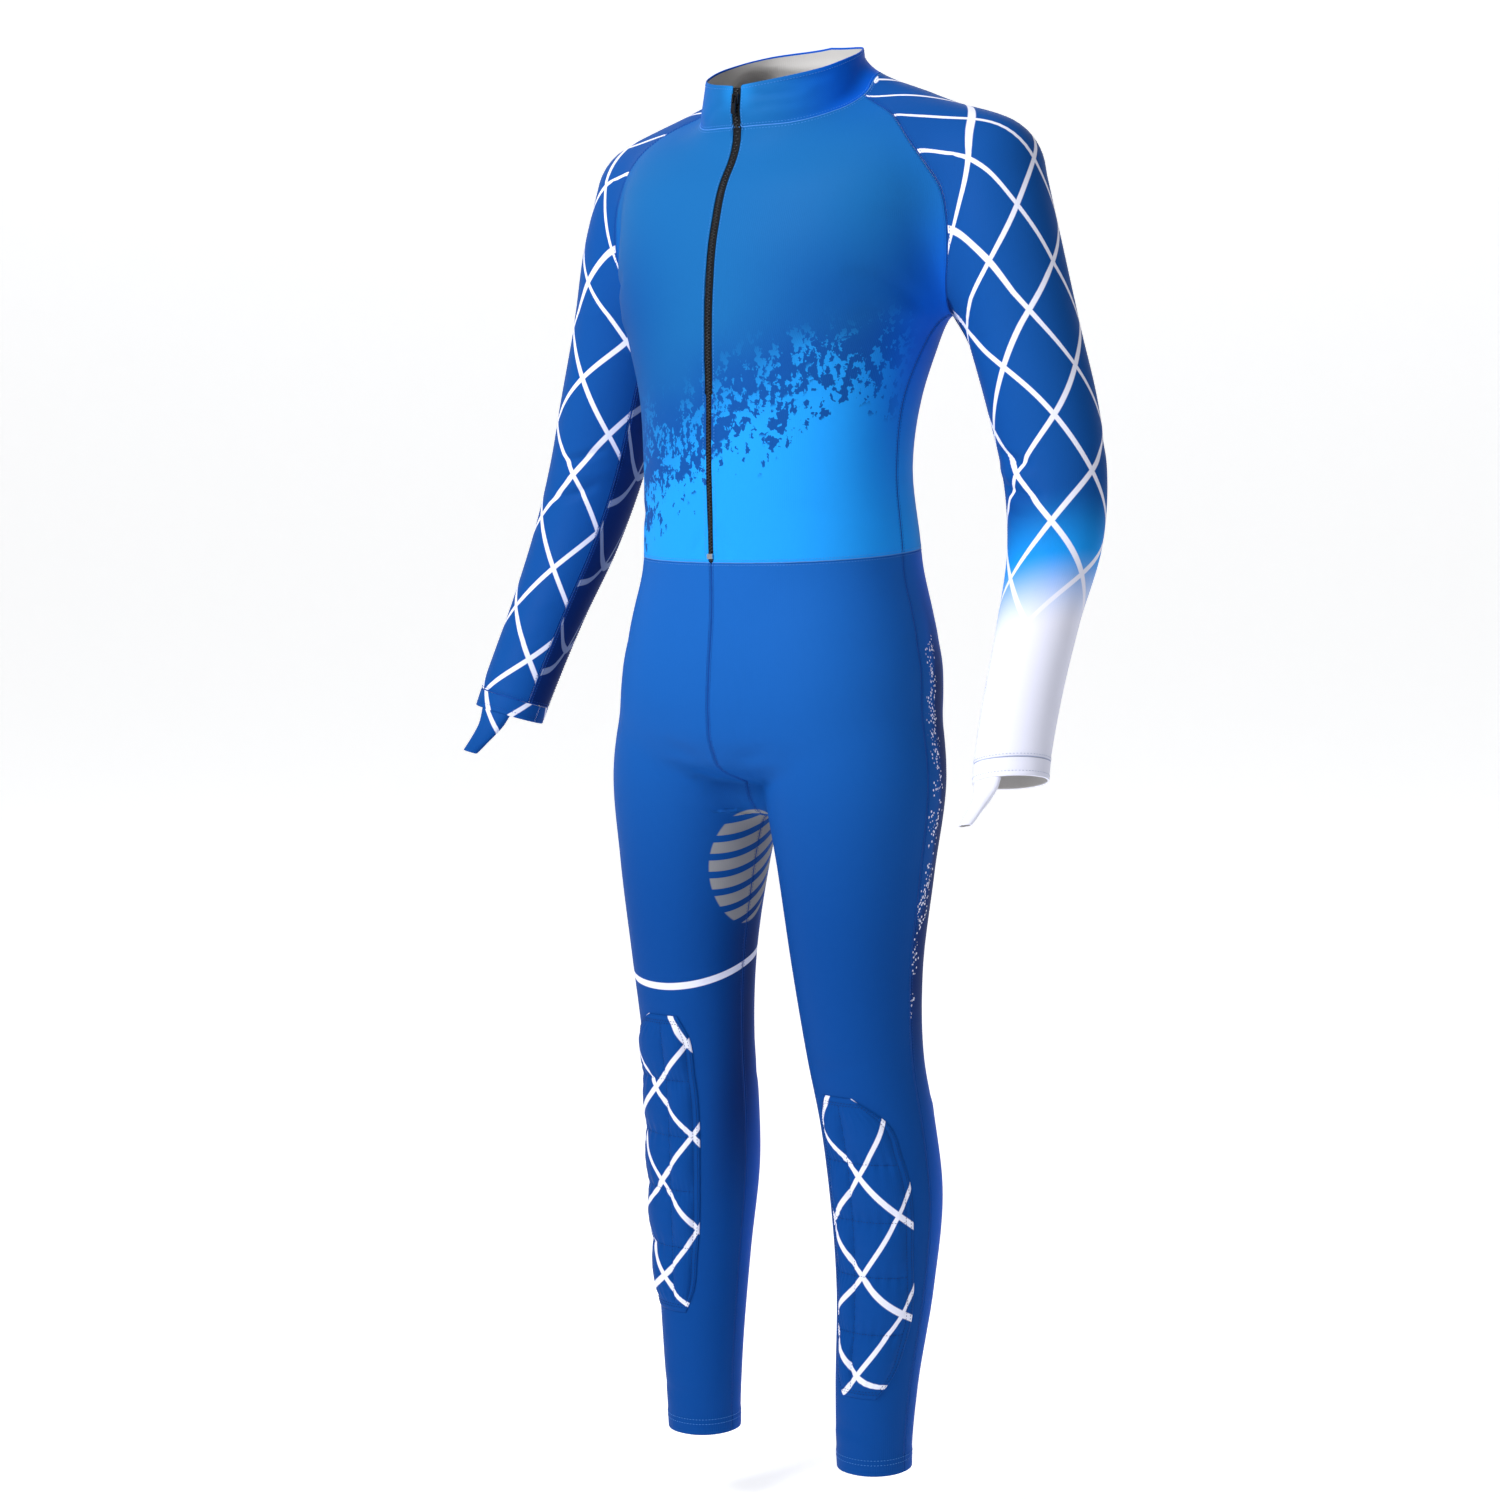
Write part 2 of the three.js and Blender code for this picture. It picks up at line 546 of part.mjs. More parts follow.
// Draws a panel's edges in by half the seam gap, square to each edge along the form.
function drawnIn(rows, amount, edges) {
  const last = rows.length - 1;
  const end = rows[0].length - 1;
  const normal = (p) => slope(p).normalize();
  const looped = !edges.includes('left') && !edges.includes('right');
  const moves = rows.map((row) => row.map(() => v3(0, 0, 0)));
  const beside = (i, step) => (looped ? (i + step + end + 1) % (end + 1)
    : Math.min(Math.max(i + step, 0), end));
  const within = (j, step) => Math.min(Math.max(j + step, 0), last);
  const edgeOf = {
    bottom: rows[0].map((p, i) => [0, i, rows[0][beside(i, -1)], rows[0][beside(i, 1)], rows[1][i]]),
    top: rows[last].map((p, i) => [last, i, rows[last][beside(i, -1)], rows[last][beside(i, 1)],
      rows[last - 1][i]]),
    left: rows.map((row, j) => [j, 0, rows[within(j, -1)][0], rows[within(j, 1)][0], row[1]]),
    right: rows.map((row, j) => [j, end, rows[within(j, -1)][end], rows[within(j, 1)][end],
      row[end - 1]]),
  };
  edges.forEach((name) => {
    const ways = edgeOf[name].map(([j, i, before, after]) => new THREE.Vector3()
      .crossVectors(normal(rows[j][i]), after.clone().sub(before)).normalize());
    const votes = edgeOf[name].map(([j, i, , , inside], k) => ways[k].dot(inside.clone().sub(rows[j][i])));
    const sign = Math.sign(votes.reduce((sum, vote) => sum + vote, 0));
    edgeOf[name].forEach(([j, i], k) => moves[j][i].addScaledVector(ways[k], sign * amount));
  });
  return rows.map((row, j) => row.map((p, i) => p.clone().add(moves[j][i])));
}

function raised(rows, height) {
  return rows.map((row, j) => row.map((p, i) => {
    const amount = typeof height === 'number' ? height : height(j, i);
    return p.clone().addScaledVector(slope(p).normalize(), amount);
  }));
}

const ALL_EDGES = ['bottom', 'top', 'left', 'right'];
function clothWall(rows, edges = ALL_EDGES, thickness = CLOTH, looped = false) {
  const inner = drawnIn(rows, SEAM_GAP / 2, edges);
  return wallGeometry(inner, raised(inner, thickness), looped);
}

const suit = new THREE.Group();
function addPiece(name, geometry, colour, roughness = 0.55, metalness = 0) {
  const material = new THREE.MeshStandardMaterial({ color: colour, roughness, metalness });
  const mesh = new THREE.Mesh(geometry, material);
  mesh.name = name;
  suit.add(mesh);
}
function addPair(name, rows, colour) {
  addPiece(`${name}_left`, clothWall(rows), colour);
  addPiece(`${name}_right`, clothWall(mirrored(rows)), colour);
}

addPair('front', frontRows, AZURE);
addPiece('back', clothWall(backRows), MID_BLUE);
addPair('leg_front', legFrontRows, MID_BLUE);
addPair('leg_back', legBackRows, MID_BLUE);

for (const side of ['left', 'right']) {
  const { outer, under } = sleevePanels(SLEEVE_END[side].seam);
  const placed = (rows) => (side === 'left' ? rows : mirrored(rows));
  addPiece(`sleeve_${side}`, clothWall(placed(outer)), side === 'left' ? DEEP_BLUE : MID_BLUE);
  addPiece(`underarm_${side}`, clothWall(placed(under)), NAVY);
}

// Cuff bands, open at the wrist.
const CUFF_CLOTH = 1.8;
for (const side of ['left', 'right']) {
  const { seam, edge } = SLEEVE_END[side];
  const round = [...outerAngles, ...underAngles.slice(1, -1)];
  const rows = [seam, edge].map((t) => round.map((angle) => armPoint(t, angle)));
  const placed = side === 'left' ? rows : mirrored(rows);
  addPiece(`cuff_${side}`, clothWall(placed, ['bottom'], CUFF_CLOTH, true),
    side === 'left' ? PALE_LILAC : MID_BLUE);
}

// Thumb stalls: flattened tapering tubes, open at both ends, below the front of each cuff.
const THUMB_SIDES = 12;
const THUMB_RING = 75;
const THUMB_INSET = 7.5;
const THUMB = [
  { drop: SEAM_GAP, forward: 0, inward: 0, half_width: 17, half_depth: 7.5 },
  { drop: 9, forward: 2.5, inward: 1, half_width: 15, half_depth: 7.5 },
  { drop: 22, forward: 10, inward: 3, half_width: 12, half_depth: 7 },
  { drop: 36, forward: 21, inward: 6, half_width: 9.5, half_depth: 6 },
  { drop: 47, forward: 31, inward: 8, half_width: 8, half_depth: 5.5 },
];
function thumbRows(edge, shrink) {
  const turn = radians(THUMB_RING);
  const inward = OUT_ARM.clone().negate();
  const reach = ARM.half_breadth(edge) + CUFF_CLOTH - THUMB_INSET;
  const toward = inward.clone().multiplyScalar(Math.cos(turn)).addScaledVector(FORE_ARM, Math.sin(turn));
  const across = new THREE.Vector3().crossVectors(toward, DOWN_ARM);
  const base = armCentre(edge).addScaledVector(toward, reach);
  return THUMB.map((row) => Array.from({ length: THUMB_SIDES }, (_, i) => {
    const angle = 2 * Math.PI * i / THUMB_SIDES;
    return base.clone().addScaledVector(DOWN_ARM, row.drop)
      .addScaledVector(FORE_ARM, row.forward).addScaledVector(inward, row.inward)
      .addScaledVector(across, (row.half_width - shrink) * Math.cos(angle))
      .addScaledVector(toward, (row.half_depth - shrink) * Math.sin(angle));
  }));
}
for (const side of ['left', 'right']) {
  const edge = SLEEVE_END[side].edge;
  const grids = [thumbRows(edge, CLOTH), thumbRows(edge, 0)];
  const [inner, outer] = side === 'left' ? grids : grids.map(mirrored);
  addPiece(`thumb_${side}`, wallGeometry(inner, outer, true), side === 'left' ? PALE_LILAC : MID_BLUE);
}

// Collar band from the zip round the neck and back to it.
const collarRim = (angle, atZip) => {
  const p = neckPoint(COLLAR_TOP, COLLAR_REACH, angle);
  if (atZip) p.x = Math.sign(p.x) * ZIP_EDGE;
  return settle(p, atZip);
};
const seamLoop = [...neckFront, ...neckShoulder.slice(1), ...neckBack.slice(1, BACK_COLUMNS + 1)];
const seamRound = [...seamLoop, ...mirrored([seamLoop])[0].reverse().slice(1)];
const collarRows = Array.from({ length: COLLAR_ROWS + 1 }, (_, j) => seamRound.map((low, i) => {
  if (j === 0) return low.clone();
  const angle = THREE.MathUtils.radToDeg(Math.atan2(low.x, -(low.y - NECK_CENTRE_Y)));
  const atZip = i === 0 || i === seamRound.length - 1;
  const high = collarRim(Math.abs(angle), atZip);
  if (low.x < 0) high.x = -high.x;
  return settle(low.clone().lerp(high, j / COLLAR_ROWS), atZip);
}));
addPiece('collar', clothWall(collarRows, ['bottom', 'left', 'right']), DEEP_BLUE);

// Shin pads: quilted cells raised over a plain inside, laid on the leg fronts.
const PAD_LIFT = CLOTH + 1.15;
const PAD_EDGE = 1.8;
const PAD_GROOVE = 2.4;
const PAD_SWELL = 4.6;
const PAD_CELLS_DOWN = 5;
const PAD_CELL_STEPS = 4;
const PAD_COLUMNS_IN = 4;
const PAD_COLUMNS_OUT = 6;
const PAD_SPAN = { left: { top: 478, bottom: 166 }, right: { top: 540, bottom: 216 } };
const PAD_WIDTH = curves(['down', 'inner', 'outer'], [
  [0, 20, 16], [0.06, 29, 42], [0.2, 33, 58], [0.5, 34, 66], [0.8, 32, 70], [0.94, 26, 54], [1, 16, 36],
]);
const swellAt = (part) => Math.sin(Math.PI * part) ** 0.6;
function padSwell(j, i) {
  const rows = PAD_CELLS_DOWN * PAD_CELL_STEPS;
  const columns = PAD_COLUMNS_IN + PAD_COLUMNS_OUT;
  if (j === 0 || i === 0 || j === rows || i === columns) return PAD_EDGE;
  const down = (j % PAD_CELL_STEPS) / PAD_CELL_STEPS;
  const across = i < PAD_COLUMNS_IN ? i / PAD_COLUMNS_IN : (i - PAD_COLUMNS_IN) / PAD_COLUMNS_OUT;
  return PAD_GROOVE + PAD_SWELL * swellAt(down) * swellAt(across);
}
for (const side of ['left', 'right']) {
  const { top, bottom } = PAD_SPAN[side];
  const rows = Array.from({ length: PAD_CELLS_DOWN * PAD_CELL_STEPS + 1 }, (_, j) => {
    const down = j / (PAD_CELLS_DOWN * PAD_CELL_STEPS);
    const z = mix(top, bottom, down);
    return Array.from({ length: PAD_COLUMNS_IN + PAD_COLUMNS_OUT + 1 }, (_, i) => {
      const angle = i < PAD_COLUMNS_IN
        ? -PAD_WIDTH.inner(down) * (1 - i / PAD_COLUMNS_IN)
        : PAD_WIDTH.outer(down) * (i - PAD_COLUMNS_IN) / PAD_COLUMNS_OUT;
      const turn = radians(angle);
      const x = LEG.centre_x(z) + LEG.half_width(z) * Math.sin(turn);
      return settle(v3(x, LEG.centre_y(z) - LEG.front(z) * Math.cos(turn), z));
    });
  });
  const placed = side === 'left' ? rows : mirrored(rows);
  const inner = raised(placed, PAD_LIFT);
  const outer = raised(placed, (j, i) => PAD_LIFT + padSwell(j, i));
  addPiece(`shin_pad_${side}`, wallGeometry(inner, outer), MID_BLUE, 0.6);
}

// Zip: a coil strip from the waist seam to the collar's rim.
const ZIP_ROWS = 24;
const zipPoint = (x, z) => settle(v3(x, z > neckFront[0].z ? COLLAR_START_Y : CHEST_START_Y, z), true);
const zipRows = Array.from({ length: ZIP_ROWS + 1 }, (_, j) => [-ZIP_HALF, 0, ZIP_HALF].map((x) => {
  if (j === 0) return waistPoint(0, x);
  return zipPoint(x, mix(zipBottom.z, COLLAR_TOP.height(0), j / ZIP_ROWS));
}));
addPiece('zip_strip', clothWall(zipRows, ['bottom'], CLOTH + ZIP_RAISE), COIL_BLACK, 0.5);

// Hard pieces of the zip are drawn flat, then set on the strip at a height.
const wasm = await Module();
wasm.setup();
function toManifold(geometry) {
  const bare = geometry.clone();
  bare.deleteAttribute('normal');
  bare.deleteAttribute('uv');
  const merged = mergeVertices(bare, 1e-4);
  const mesh = new wasm.Mesh({
    numProp: 3,
    vertProperties: new Float32Array(merged.attributes.position.array),
    triVerts: new Uint32Array(merged.index.array),
  });
  mesh.merge();
  return new wasm.Manifold(mesh);
}
function fromManifold(solid) {
  const mesh = solid.getMesh();
  const geometry = new THREE.BufferGeometry();
  geometry.setAttribute('position', new THREE.Float32BufferAttribute(mesh.vertProperties, 3));
  geometry.setIndex(Array.from(mesh.triVerts));
  geometry.computeVertexNormals();
  return geometry;
}
const CORNER_STEPS = 3;
function roundedShape(halfX, low, high, corner) {
  const centres = [[halfX, low], [halfX, high], [-halfX, high], [-halfX, low]];
  const outline = centres.flatMap(([x, y], k) => Array.from({ length: CORNER_STEPS + 1 }, (_, n) => {
    const angle = Math.PI / 2 * (k - 1 + n / CORNER_STEPS);
    const cx = x - Math.sign(x) * corner;
    const cy = y === low ? y + corner : y - corner;
    return new THREE.Vector2(cx + corner * Math.cos(angle), cy + corner * Math.sin(angle));
  }));
  return new THREE.Shape(outline);
}
const extrude = (shape, depth) => new THREE.ExtrudeGeometry(shape, { depth, bevelEnabled: false });

// Stands a flat piece on the strip: its own y runs up the zip and its z outwards.
const LEVEL_STEP = 6;
function onStrip(geometry, height, lift) {
  const here = zipPoint(0, height);
  const above = zipPoint(0, height + LEVEL_STEP);
  const up = above.sub(here).normalize();
  const out = new THREE.Vector3().crossVectors(v3(1, 0, 0), up);
  const base = here.addScaledVector(out, CLOTH + ZIP_RAISE + lift);
  base.z -= HOLD_HEIGHT;
  const place = new THREE.Matrix4().makeBasis(v3(1, 0, 0), up, out).setPosition(base);
  geometry.applyMatrix4(place);
  return geometry;
}

const SLIDER_HEIGHT = 1469;
const SLIDER = { half_width: 3.9, low: -5.5, high: 5.5, thick: 1.6, corner: 1.6 };
const BRIDGE = { half_width: 0.8, half_length: 3.2, foot: 1.0, top: 4.9, corner: 0.8 };
const EYE = { half_length: 1.5, low: 1.9, high: 4.0 };
const PULL = { half_width: 2.6, half_bar: 0.6, half_thick: 0.6, slot_half: 1.15, slot_end: 4.7, length: 15 };
const HINGE_LIFT = (EYE.low + EYE.high) / 2;
const sliderPlate = extrude(roundedShape(SLIDER.half_width, SLIDER.low, SLIDER.high, SLIDER.corner),
  SLIDER.thick);
const bridgeShape = roundedShape(BRIDGE.half_length, BRIDGE.foot, BRIDGE.top, BRIDGE.corner);
bridgeShape.holes.push(new THREE.Path([
  new THREE.Vector2(-EYE.half_length, EYE.low), new THREE.Vector2(-EYE.half_length, EYE.high),
  new THREE.Vector2(EYE.half_length, EYE.high), new THREE.Vector2(EYE.half_length, EYE.low),
]));
const bridge = extrude(bridgeShape, 2 * BRIDGE.half_width);
bridge.translate(0, 0, -BRIDGE.half_width);
bridge.applyMatrix4(new THREE.Matrix4().makeBasis(v3(0, 1, 0), v3(0, 0, 1), v3(1, 0, 0)));
const slider = fromManifold(toManifold(sliderPlate).add(toManifold(bridge)));
addPiece('zip_slider', onStrip(slider, SLIDER_HEIGHT, SEAM_GAP), COIL_BLACK, 0.35, 0.6);

// The pull tab hangs from its bar, which lies in the bridge's eye.
const pullShape = roundedShape(PULL.half_width, -PULL.length, PULL.half_bar, PULL.half_bar);
pullShape.holes.push(new THREE.Path([
  new THREE.Vector2(-PULL.slot_half, -PULL.slot_end), new THREE.Vector2(-PULL.slot_half, -PULL.half_bar),
  new THREE.Vector2(PULL.slot_half, -PULL.half_bar), new THREE.Vector2(PULL.slot_half, -PULL.slot_end),
]));
const pull = extrude(pullShape, 2 * PULL.half_thick);
pull.translate(0, 0, HINGE_LIFT - PULL.half_thick);
const pullSolid = fromManifold(toManifold(pull));
addPiece('zip_pull', onStrip(pullSolid, SLIDER_HEIGHT, SEAM_GAP), COIL_BLACK, 0.4, 0.3);

// Bottom stop clamped over the lowest coils.
const STOP_HEIGHT = 1018;
const STOP = { half_width: 3.4, half_length: 2.6, thick: 1.4, corner: 0.7 };
const stopPlate = extrude(roundedShape(STOP.half_width, -STOP.half_length, STOP.half_length, STOP.corner),
  STOP.thick);
const stop = onStrip(fromManifold(toManifold(stopPlate)), STOP_HEIGHT, SEAM_GAP);
addPiece('zip_stop', stop, METAL_GREY, 0.35, 0.9);

export default suit;
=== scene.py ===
"""Speed skating suit, filled out and hollow: the finish of every piece, built around its solids.

Sizes are worked in millimetres, with heights above the sole of the foot. A finished mesh is in
metres, lowered so that its origin is where the wearer's neck base holds the suit.
+X is the wearer's left, -Y the front and +Z up.
"""
import math

import bpy
import numpy as np
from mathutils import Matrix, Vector


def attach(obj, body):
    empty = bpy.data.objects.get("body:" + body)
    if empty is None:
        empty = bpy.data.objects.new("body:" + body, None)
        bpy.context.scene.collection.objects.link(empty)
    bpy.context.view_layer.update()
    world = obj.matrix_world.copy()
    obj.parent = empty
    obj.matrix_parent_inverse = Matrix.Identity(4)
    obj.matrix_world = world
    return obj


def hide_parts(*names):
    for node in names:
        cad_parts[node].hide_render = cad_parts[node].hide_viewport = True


bl_info = {
    "name": "Speed Skating Suit",
    "version": (1, 0, 0),
    "blender": (4, 5, 0),
    "location": "3D View > Sidebar > Skating Suit",
    "description": "Builds a filled-out speed skating suit of stretch cloth",
    "category": "Add Mesh",
}

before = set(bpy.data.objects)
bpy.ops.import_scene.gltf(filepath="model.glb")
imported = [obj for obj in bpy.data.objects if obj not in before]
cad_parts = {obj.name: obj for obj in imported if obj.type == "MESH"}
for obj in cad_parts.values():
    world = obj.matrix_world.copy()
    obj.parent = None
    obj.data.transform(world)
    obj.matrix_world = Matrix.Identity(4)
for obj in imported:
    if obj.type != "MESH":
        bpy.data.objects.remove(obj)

# Cloth, seams and where the suit is held, in millimetres.
CLOTH = 1.5
CUFF_CLOTH = 1.8
SEAM_GAP = 0.3
HOLD_HEIGHT = 1480
STRETCH = 1.1

# Seams: heights, and angles round the body from the front centre.
WAIST_FRONT, WAIST_BACK = 1012, 1030
SIDE_ANGLE = 91
RAGLAN_FRONT_ANGLE, RAGLAN_BACK_ANGLE = 92, 128
HEM_HEIGHT, CROTCH_HEIGHT = 84, 772
ZIP_HALF = 4.2
ZIP_EDGE = ZIP_HALF + SEAM_GAP / 2
BODY_CENTRE_Y, NECK_CENTRE_Y = -27, -24

# The body form that the cloth takes. Columns: height, half width, front, back, centre y.
TORSO = np.array([
    [790, 26, 32, 32, -52],
    [802, 74, 80, 80, -43],
    [825, 118, 108, 108, -36],
    [860, 148, 118, 118, -33],
    [900, 161, 120, 122, -30],
    [960, 149, 118, 117, -27],
    [1031, 145, 116, 108, -30],
    [1110, 141, 113, 102, -36],
    [1180, 149, 117, 107, -32],
    [1230, 165, 122, 113, -28],
    [1275, 182, 125, 117, -24],
    [1340, 190, 124, 114, -16],
    [1400, 194, 112, 96, -4],
    [1436, 192, 88, 66, 8],
    [1458, 182, 60, 44, 16],
    [1474, 150, 42, 34, 20],
    [1488, 112, 32, 28, 20],
    [1502, 74, 24, 22, 20],
    [1518, 36, 14, 14, 18],
], float)
# Columns: height, centre x, centre y, half width, front, back.
LEG = np.array([
    [60, 112, -18, 35, 37, 37],
    [100, 112, -20, 36, 38, 38],
    [165, 114, -19, 39, 42, 42],
    [270, 119, -12, 47, 48, 50],
    [375, 118, -12, 55, 54, 61],
    [440, 114, -20, 56, 54, 60],
    [510, 109, -33, 57, 57, 57],
    [600, 106, -42, 63, 66, 62],
    [700, 104, -42, 76, 79, 74],
    [800, 98, -38, 88, 94, 92],
    [870, 89, -35, 84, 96, 96],
    [930, 84, -34, 74, 88, 88],
], float)
# Columns: station down the arm, forward, outward, half depth, half breadth.
ARM = np.array([
    [0, 0, 0, 60, 60],
    [70, -12, 8, 60, 58],
    [150, -32, 16, 56, 54],
    [230, -50, 24, 54, 52],
    [300, -60, 28, 49, 49],
    [370, -56, 26, 44, 45],
    [450, -34, 16, 38, 39],
    [540, -10, 5, 36, 36],
    [590, 0, 0, 35, 35],
    [640, 8, 0, 34, 34],
], float)
# Columns: rise up the neck, half width, half depth.
NECK = np.array([[0, 88, 84], [30, 82, 80], [60, 77, 76], [110, 74, 74]], float)
SHOULDER = np.array([210, 20, 1391.0])
WRIST = np.array([326, -99, 822.0])
NECK_BASE = np.array([0, -22, 1462.0])
NECK_TOP = np.array([0, -26, 1550.0])
MELT_NECK, MELT_LEG, MELT_ARM = 36, 34, 46
SQUARE_TORSO, SQUARE_LEG, ROUND = 2.35, 2.1, 2

# Seam lines on the wearer's left; the right-hand ones are their mirror images.
NECK_SEAM = np.array([[0, 1441], [40, 1446], [70, 1460], [96, 1477], [128, 1488], [180, 1494]], float)
COLLAR_TOP = np.array([[0, 1481], [30, 1487], [60, 1497], [90, 1512], [130, 1528], [180, 1536]], float)
SEAM_REACH, COLLAR_REACH, WAIST_REACH = (95, 84), (78, 77), (143, 115)
CHEST_START_Y, COLLAR_START_Y = -150, -104
RAGLAN_FRONT = [
    (187, 3, 1259), (200, -30, 1282), (209, -43, 1312), (211, -47, 1345), (206, -50, 1376),
    (190, -54, 1401), (170, -53, 1424), (136, -36, 1453),
]
RAGLAN_BACK = [
    (187, 3, 1259), (197, 28, 1284), (203, 48, 1312), (203, 66, 1345), (196, 76, 1376),
    (180, 78, 1404), (158, 70, 1430), (122, 50, 1460),
]
CENTRE_FRONT = [
    (0, -146, WAIST_FRONT), (0, -149, 930), (0, -146, 868), (0, -124, 812), (0, -84, 780),
    (0, -45, 764),
]
CENTRE_BACK = [
    (0, 80, WAIST_BACK), (0, 90, 960), (0, 92, 890), (0, 72, 825), (0, 18, 780), (0, -45, 764),
]
SIDE_SEAM = [(142, -30, 1110), (152, -26, 1185), (172, -10, 1238)]
HIP_SEAM = [(150, -27, 960), (166, -30, 900), (176, -34, 850)]
CREST = [
    (304, 8, 1299), (290, 16, 1345), (272, 20, 1392), (248, 20, 1428), (212, 20, 1452), (172, 18, 1468),
    (132, 12, 1482),
]
UNDERARM_REACH = {"front": 28, "back": 75}
UNDERARM_ANGLES = {"front": 22, "back": -48}
FIRST_RING = 165
SHOULDER_FILL = 1.4
SLEEVE_END = {"left": (588, 606), "right": (552, 570)}
SIDES = {"left": 1, "right": -1}


def along(table, column, at):
    """Cubic Hermite curve through one column of a table, run along its first column."""
    stations, values = table[:, 0], table[:, column]
    step = np.diff(stations)
    rise = np.diff(values) / step
    tangent = np.empty_like(values)
    tangent[0], tangent[-1] = rise[0], rise[-1]
    tangent[1:-1] = (rise[:-1] * step[1:] + rise[1:] * step[:-1]) / (step[1:] + step[:-1])
    t = np.clip(at, stations[0], stations[-1])
    k = np.clip(np.searchsorted(stations, t, side="right") - 1, 0, len(stations) - 2)
    w = (t - stations[k]) / step[k]
    w2, w3 = w * w, w * w * w
    return ((2 * w3 - 3 * w2 + 1) * values[k] + (w3 - 2 * w2 + w) * step[k] * tangent[k]
            + (3 * w2 - 2 * w3) * values[k + 1] + (w3 - w2) * step[k] * tangent[k + 1])


def unit(v):
    """Vectors divided by their own lengths."""
    return v / (np.linalg.norm(v, axis=-1, keepdims=True) + 1e-12)


DOWN_ARM = unit(WRIST - SHOULDER)
OUT_ARM = unit(np.array([1.0, 0, 0]) - DOWN_ARM * DOWN_ARM[0])
FORE_ARM = unit(np.cross(DOWN_ARM, OUT_ARM))
FORE_ARM = -FORE_ARM if FORE_ARM[1] > 0 else FORE_ARM
UP_NECK = unit(NECK_TOP - NECK_BASE)
BACK_NECK = np.cross(UP_NECK, [1.0, 0, 0])


def past(x, y, a, b, square, over):
    """Distance past a rounded oval: the reach to the point less the oval's reach that way."""
    rho = np.hypot(x, y) + 1e-9
    scale = (np.abs(x / a) ** square + np.abs(y / b) ** square) ** (1 / square) + 1e-12
    return np.hypot(rho, over) - rho / scale


def torso_field(p):
    """The torso: level sections, with half width and depths by the table at each height."""
    z = p[..., 2]
    half, front, back, centre = (along(TORSO, c, z) for c in (1, 2, 3, 4))
    dy = p[..., 1] - centre
    over = np.maximum(z - TORSO[-1, 0], 0) + np.maximum(TORSO[0, 0] - z, 0)
    return past(p[..., 0], dy, half, np.where(dy < 0, front, back), SQUARE_TORSO, over)


def leg_field(p, side):
    """One leg: level sections round a centre that moves with height, by the table."""
    z = p[..., 2]
    cx, cy, half, front, back = (along(LEG, c, z) for c in (1, 2, 3, 4, 5))
    dy = p[..., 1] - cy
    over = np.maximum(z - LEG[-1, 0], 0)
    return past(p[..., 0] * side - cx, dy, half, np.where(dy < 0, front, back), SQUARE_LEG, over)


def arm_place(p, side=1):
    """Station down the arm, and forward and outward of its axis."""
    q = p * np.array([side, 1, 1]) - SHOULDER
    return q @ DOWN_ARM, q @ FORE_ARM, q @ OUT_ARM


def arm_field(p, side):
    """One arm: ovals square to its axis, by the table at each station down it."""
    t, forward, outward = arm_place(p, side)
    cf, co, depth, breadth = (along(ARM, c, t) for c in (1, 2, 3, 4))
    return past(forward - cf, outward - co, depth, breadth, ROUND, np.maximum(-t, 0))


def neck_field(p):
    """The neck: ovals square to its axis, by the table at each rise."""
    q = p - NECK_BASE
    rise = q @ UP_NECK
    return past(q[..., 0], q @ BACK_NECK, along(NECK, 1, rise), along(NECK, 2, rise), ROUND,
                np.maximum(-rise, 0))


def melt(a, b, soft):
    """The smaller of two distances, rounded off where they are nearly equal."""
    h = np.maximum(soft - np.abs(a - b), 0) / soft
    return np.minimum(a, b) - h * h * soft / 4


def form(p):
    """The body form that the cut cloth takes: below zero inside it."""
    trunk = melt(torso_field(p), neck_field(p), MELT_NECK)
    legs = melt(melt(trunk, leg_field(p, 1), MELT_LEG), leg_field(p, -1), MELT_LEG)
    return melt(melt(legs, arm_field(p, 1), MELT_ARM), arm_field(p, -1), MELT_ARM)


def slope(p, probe=0.5):
    """Gradient of the form, by small steps along each axis."""
    steps = np.eye(3) * probe
    return np.stack([(form(p + s) - form(p - s)) / (2 * probe) for s in steps], -1)


def settle(rough, keep_x=False, rounds=7, limit=25):
    """Moves rough points along the form's slope until they lie on the form."""
    p = np.array(rough, float)
    for _ in range(rounds):
        g = slope(p)
        if keep_x:
            g[..., 0] = 0
        size = np.linalg.norm(g, axis=-1) + 1e-9
        move = np.clip(form(p) / size, -limit, limit)
        p = p - g / size[..., None] * move[..., None]
    return p


def smooth_line(rough, shares):
    """Centripetal Catmull-Rom curve through rough points, read at shares of its length."""
    pts = np.array(rough, float)
    pts = np.vstack([2 * pts[0] - pts[1], pts, 2 * pts[-1] - pts[-2]])
    spans = len(pts) - 3

    def at(t):
        """Points of the curve at shares of its spans."""
        k = np.minimum((t * spans).astype(int), spans - 1)
        w = (t * spans - k)[:, None]
        p0, p1, p2, p3 = (pts[k + n] for n in range(4))
        d0, d1, d2 = (np.sqrt(np.linalg.norm(b - a, axis=1))[:, None]
                      for a, b in ((p0, p1), (p1, p2), (p2, p3)))
        m1 = ((p1 - p0) / d0 - (p2 - p0) / (d0 + d1) + (p2 - p1) / d1) * d1
        m2 = ((p2 - p1) / d1 - (p3 - p1) / (d1 + d2) + (p3 - p2) / d2) * d1
        return (p1 + m1 * w + (-3 * p1 + 3 * p2 - 2 * m1 - m2) * w ** 2
                + (2 * p1 - 2 * p2 + m1 + m2) * w ** 3)

    t = np.linspace(0, 1, 600)
    length = np.concatenate([[0], np.cumsum(np.linalg.norm(np.diff(at(t), axis=0), axis=1))])
    return at(np.interp(np.asarray(shares) * length[-1], length, t)), length[-1]


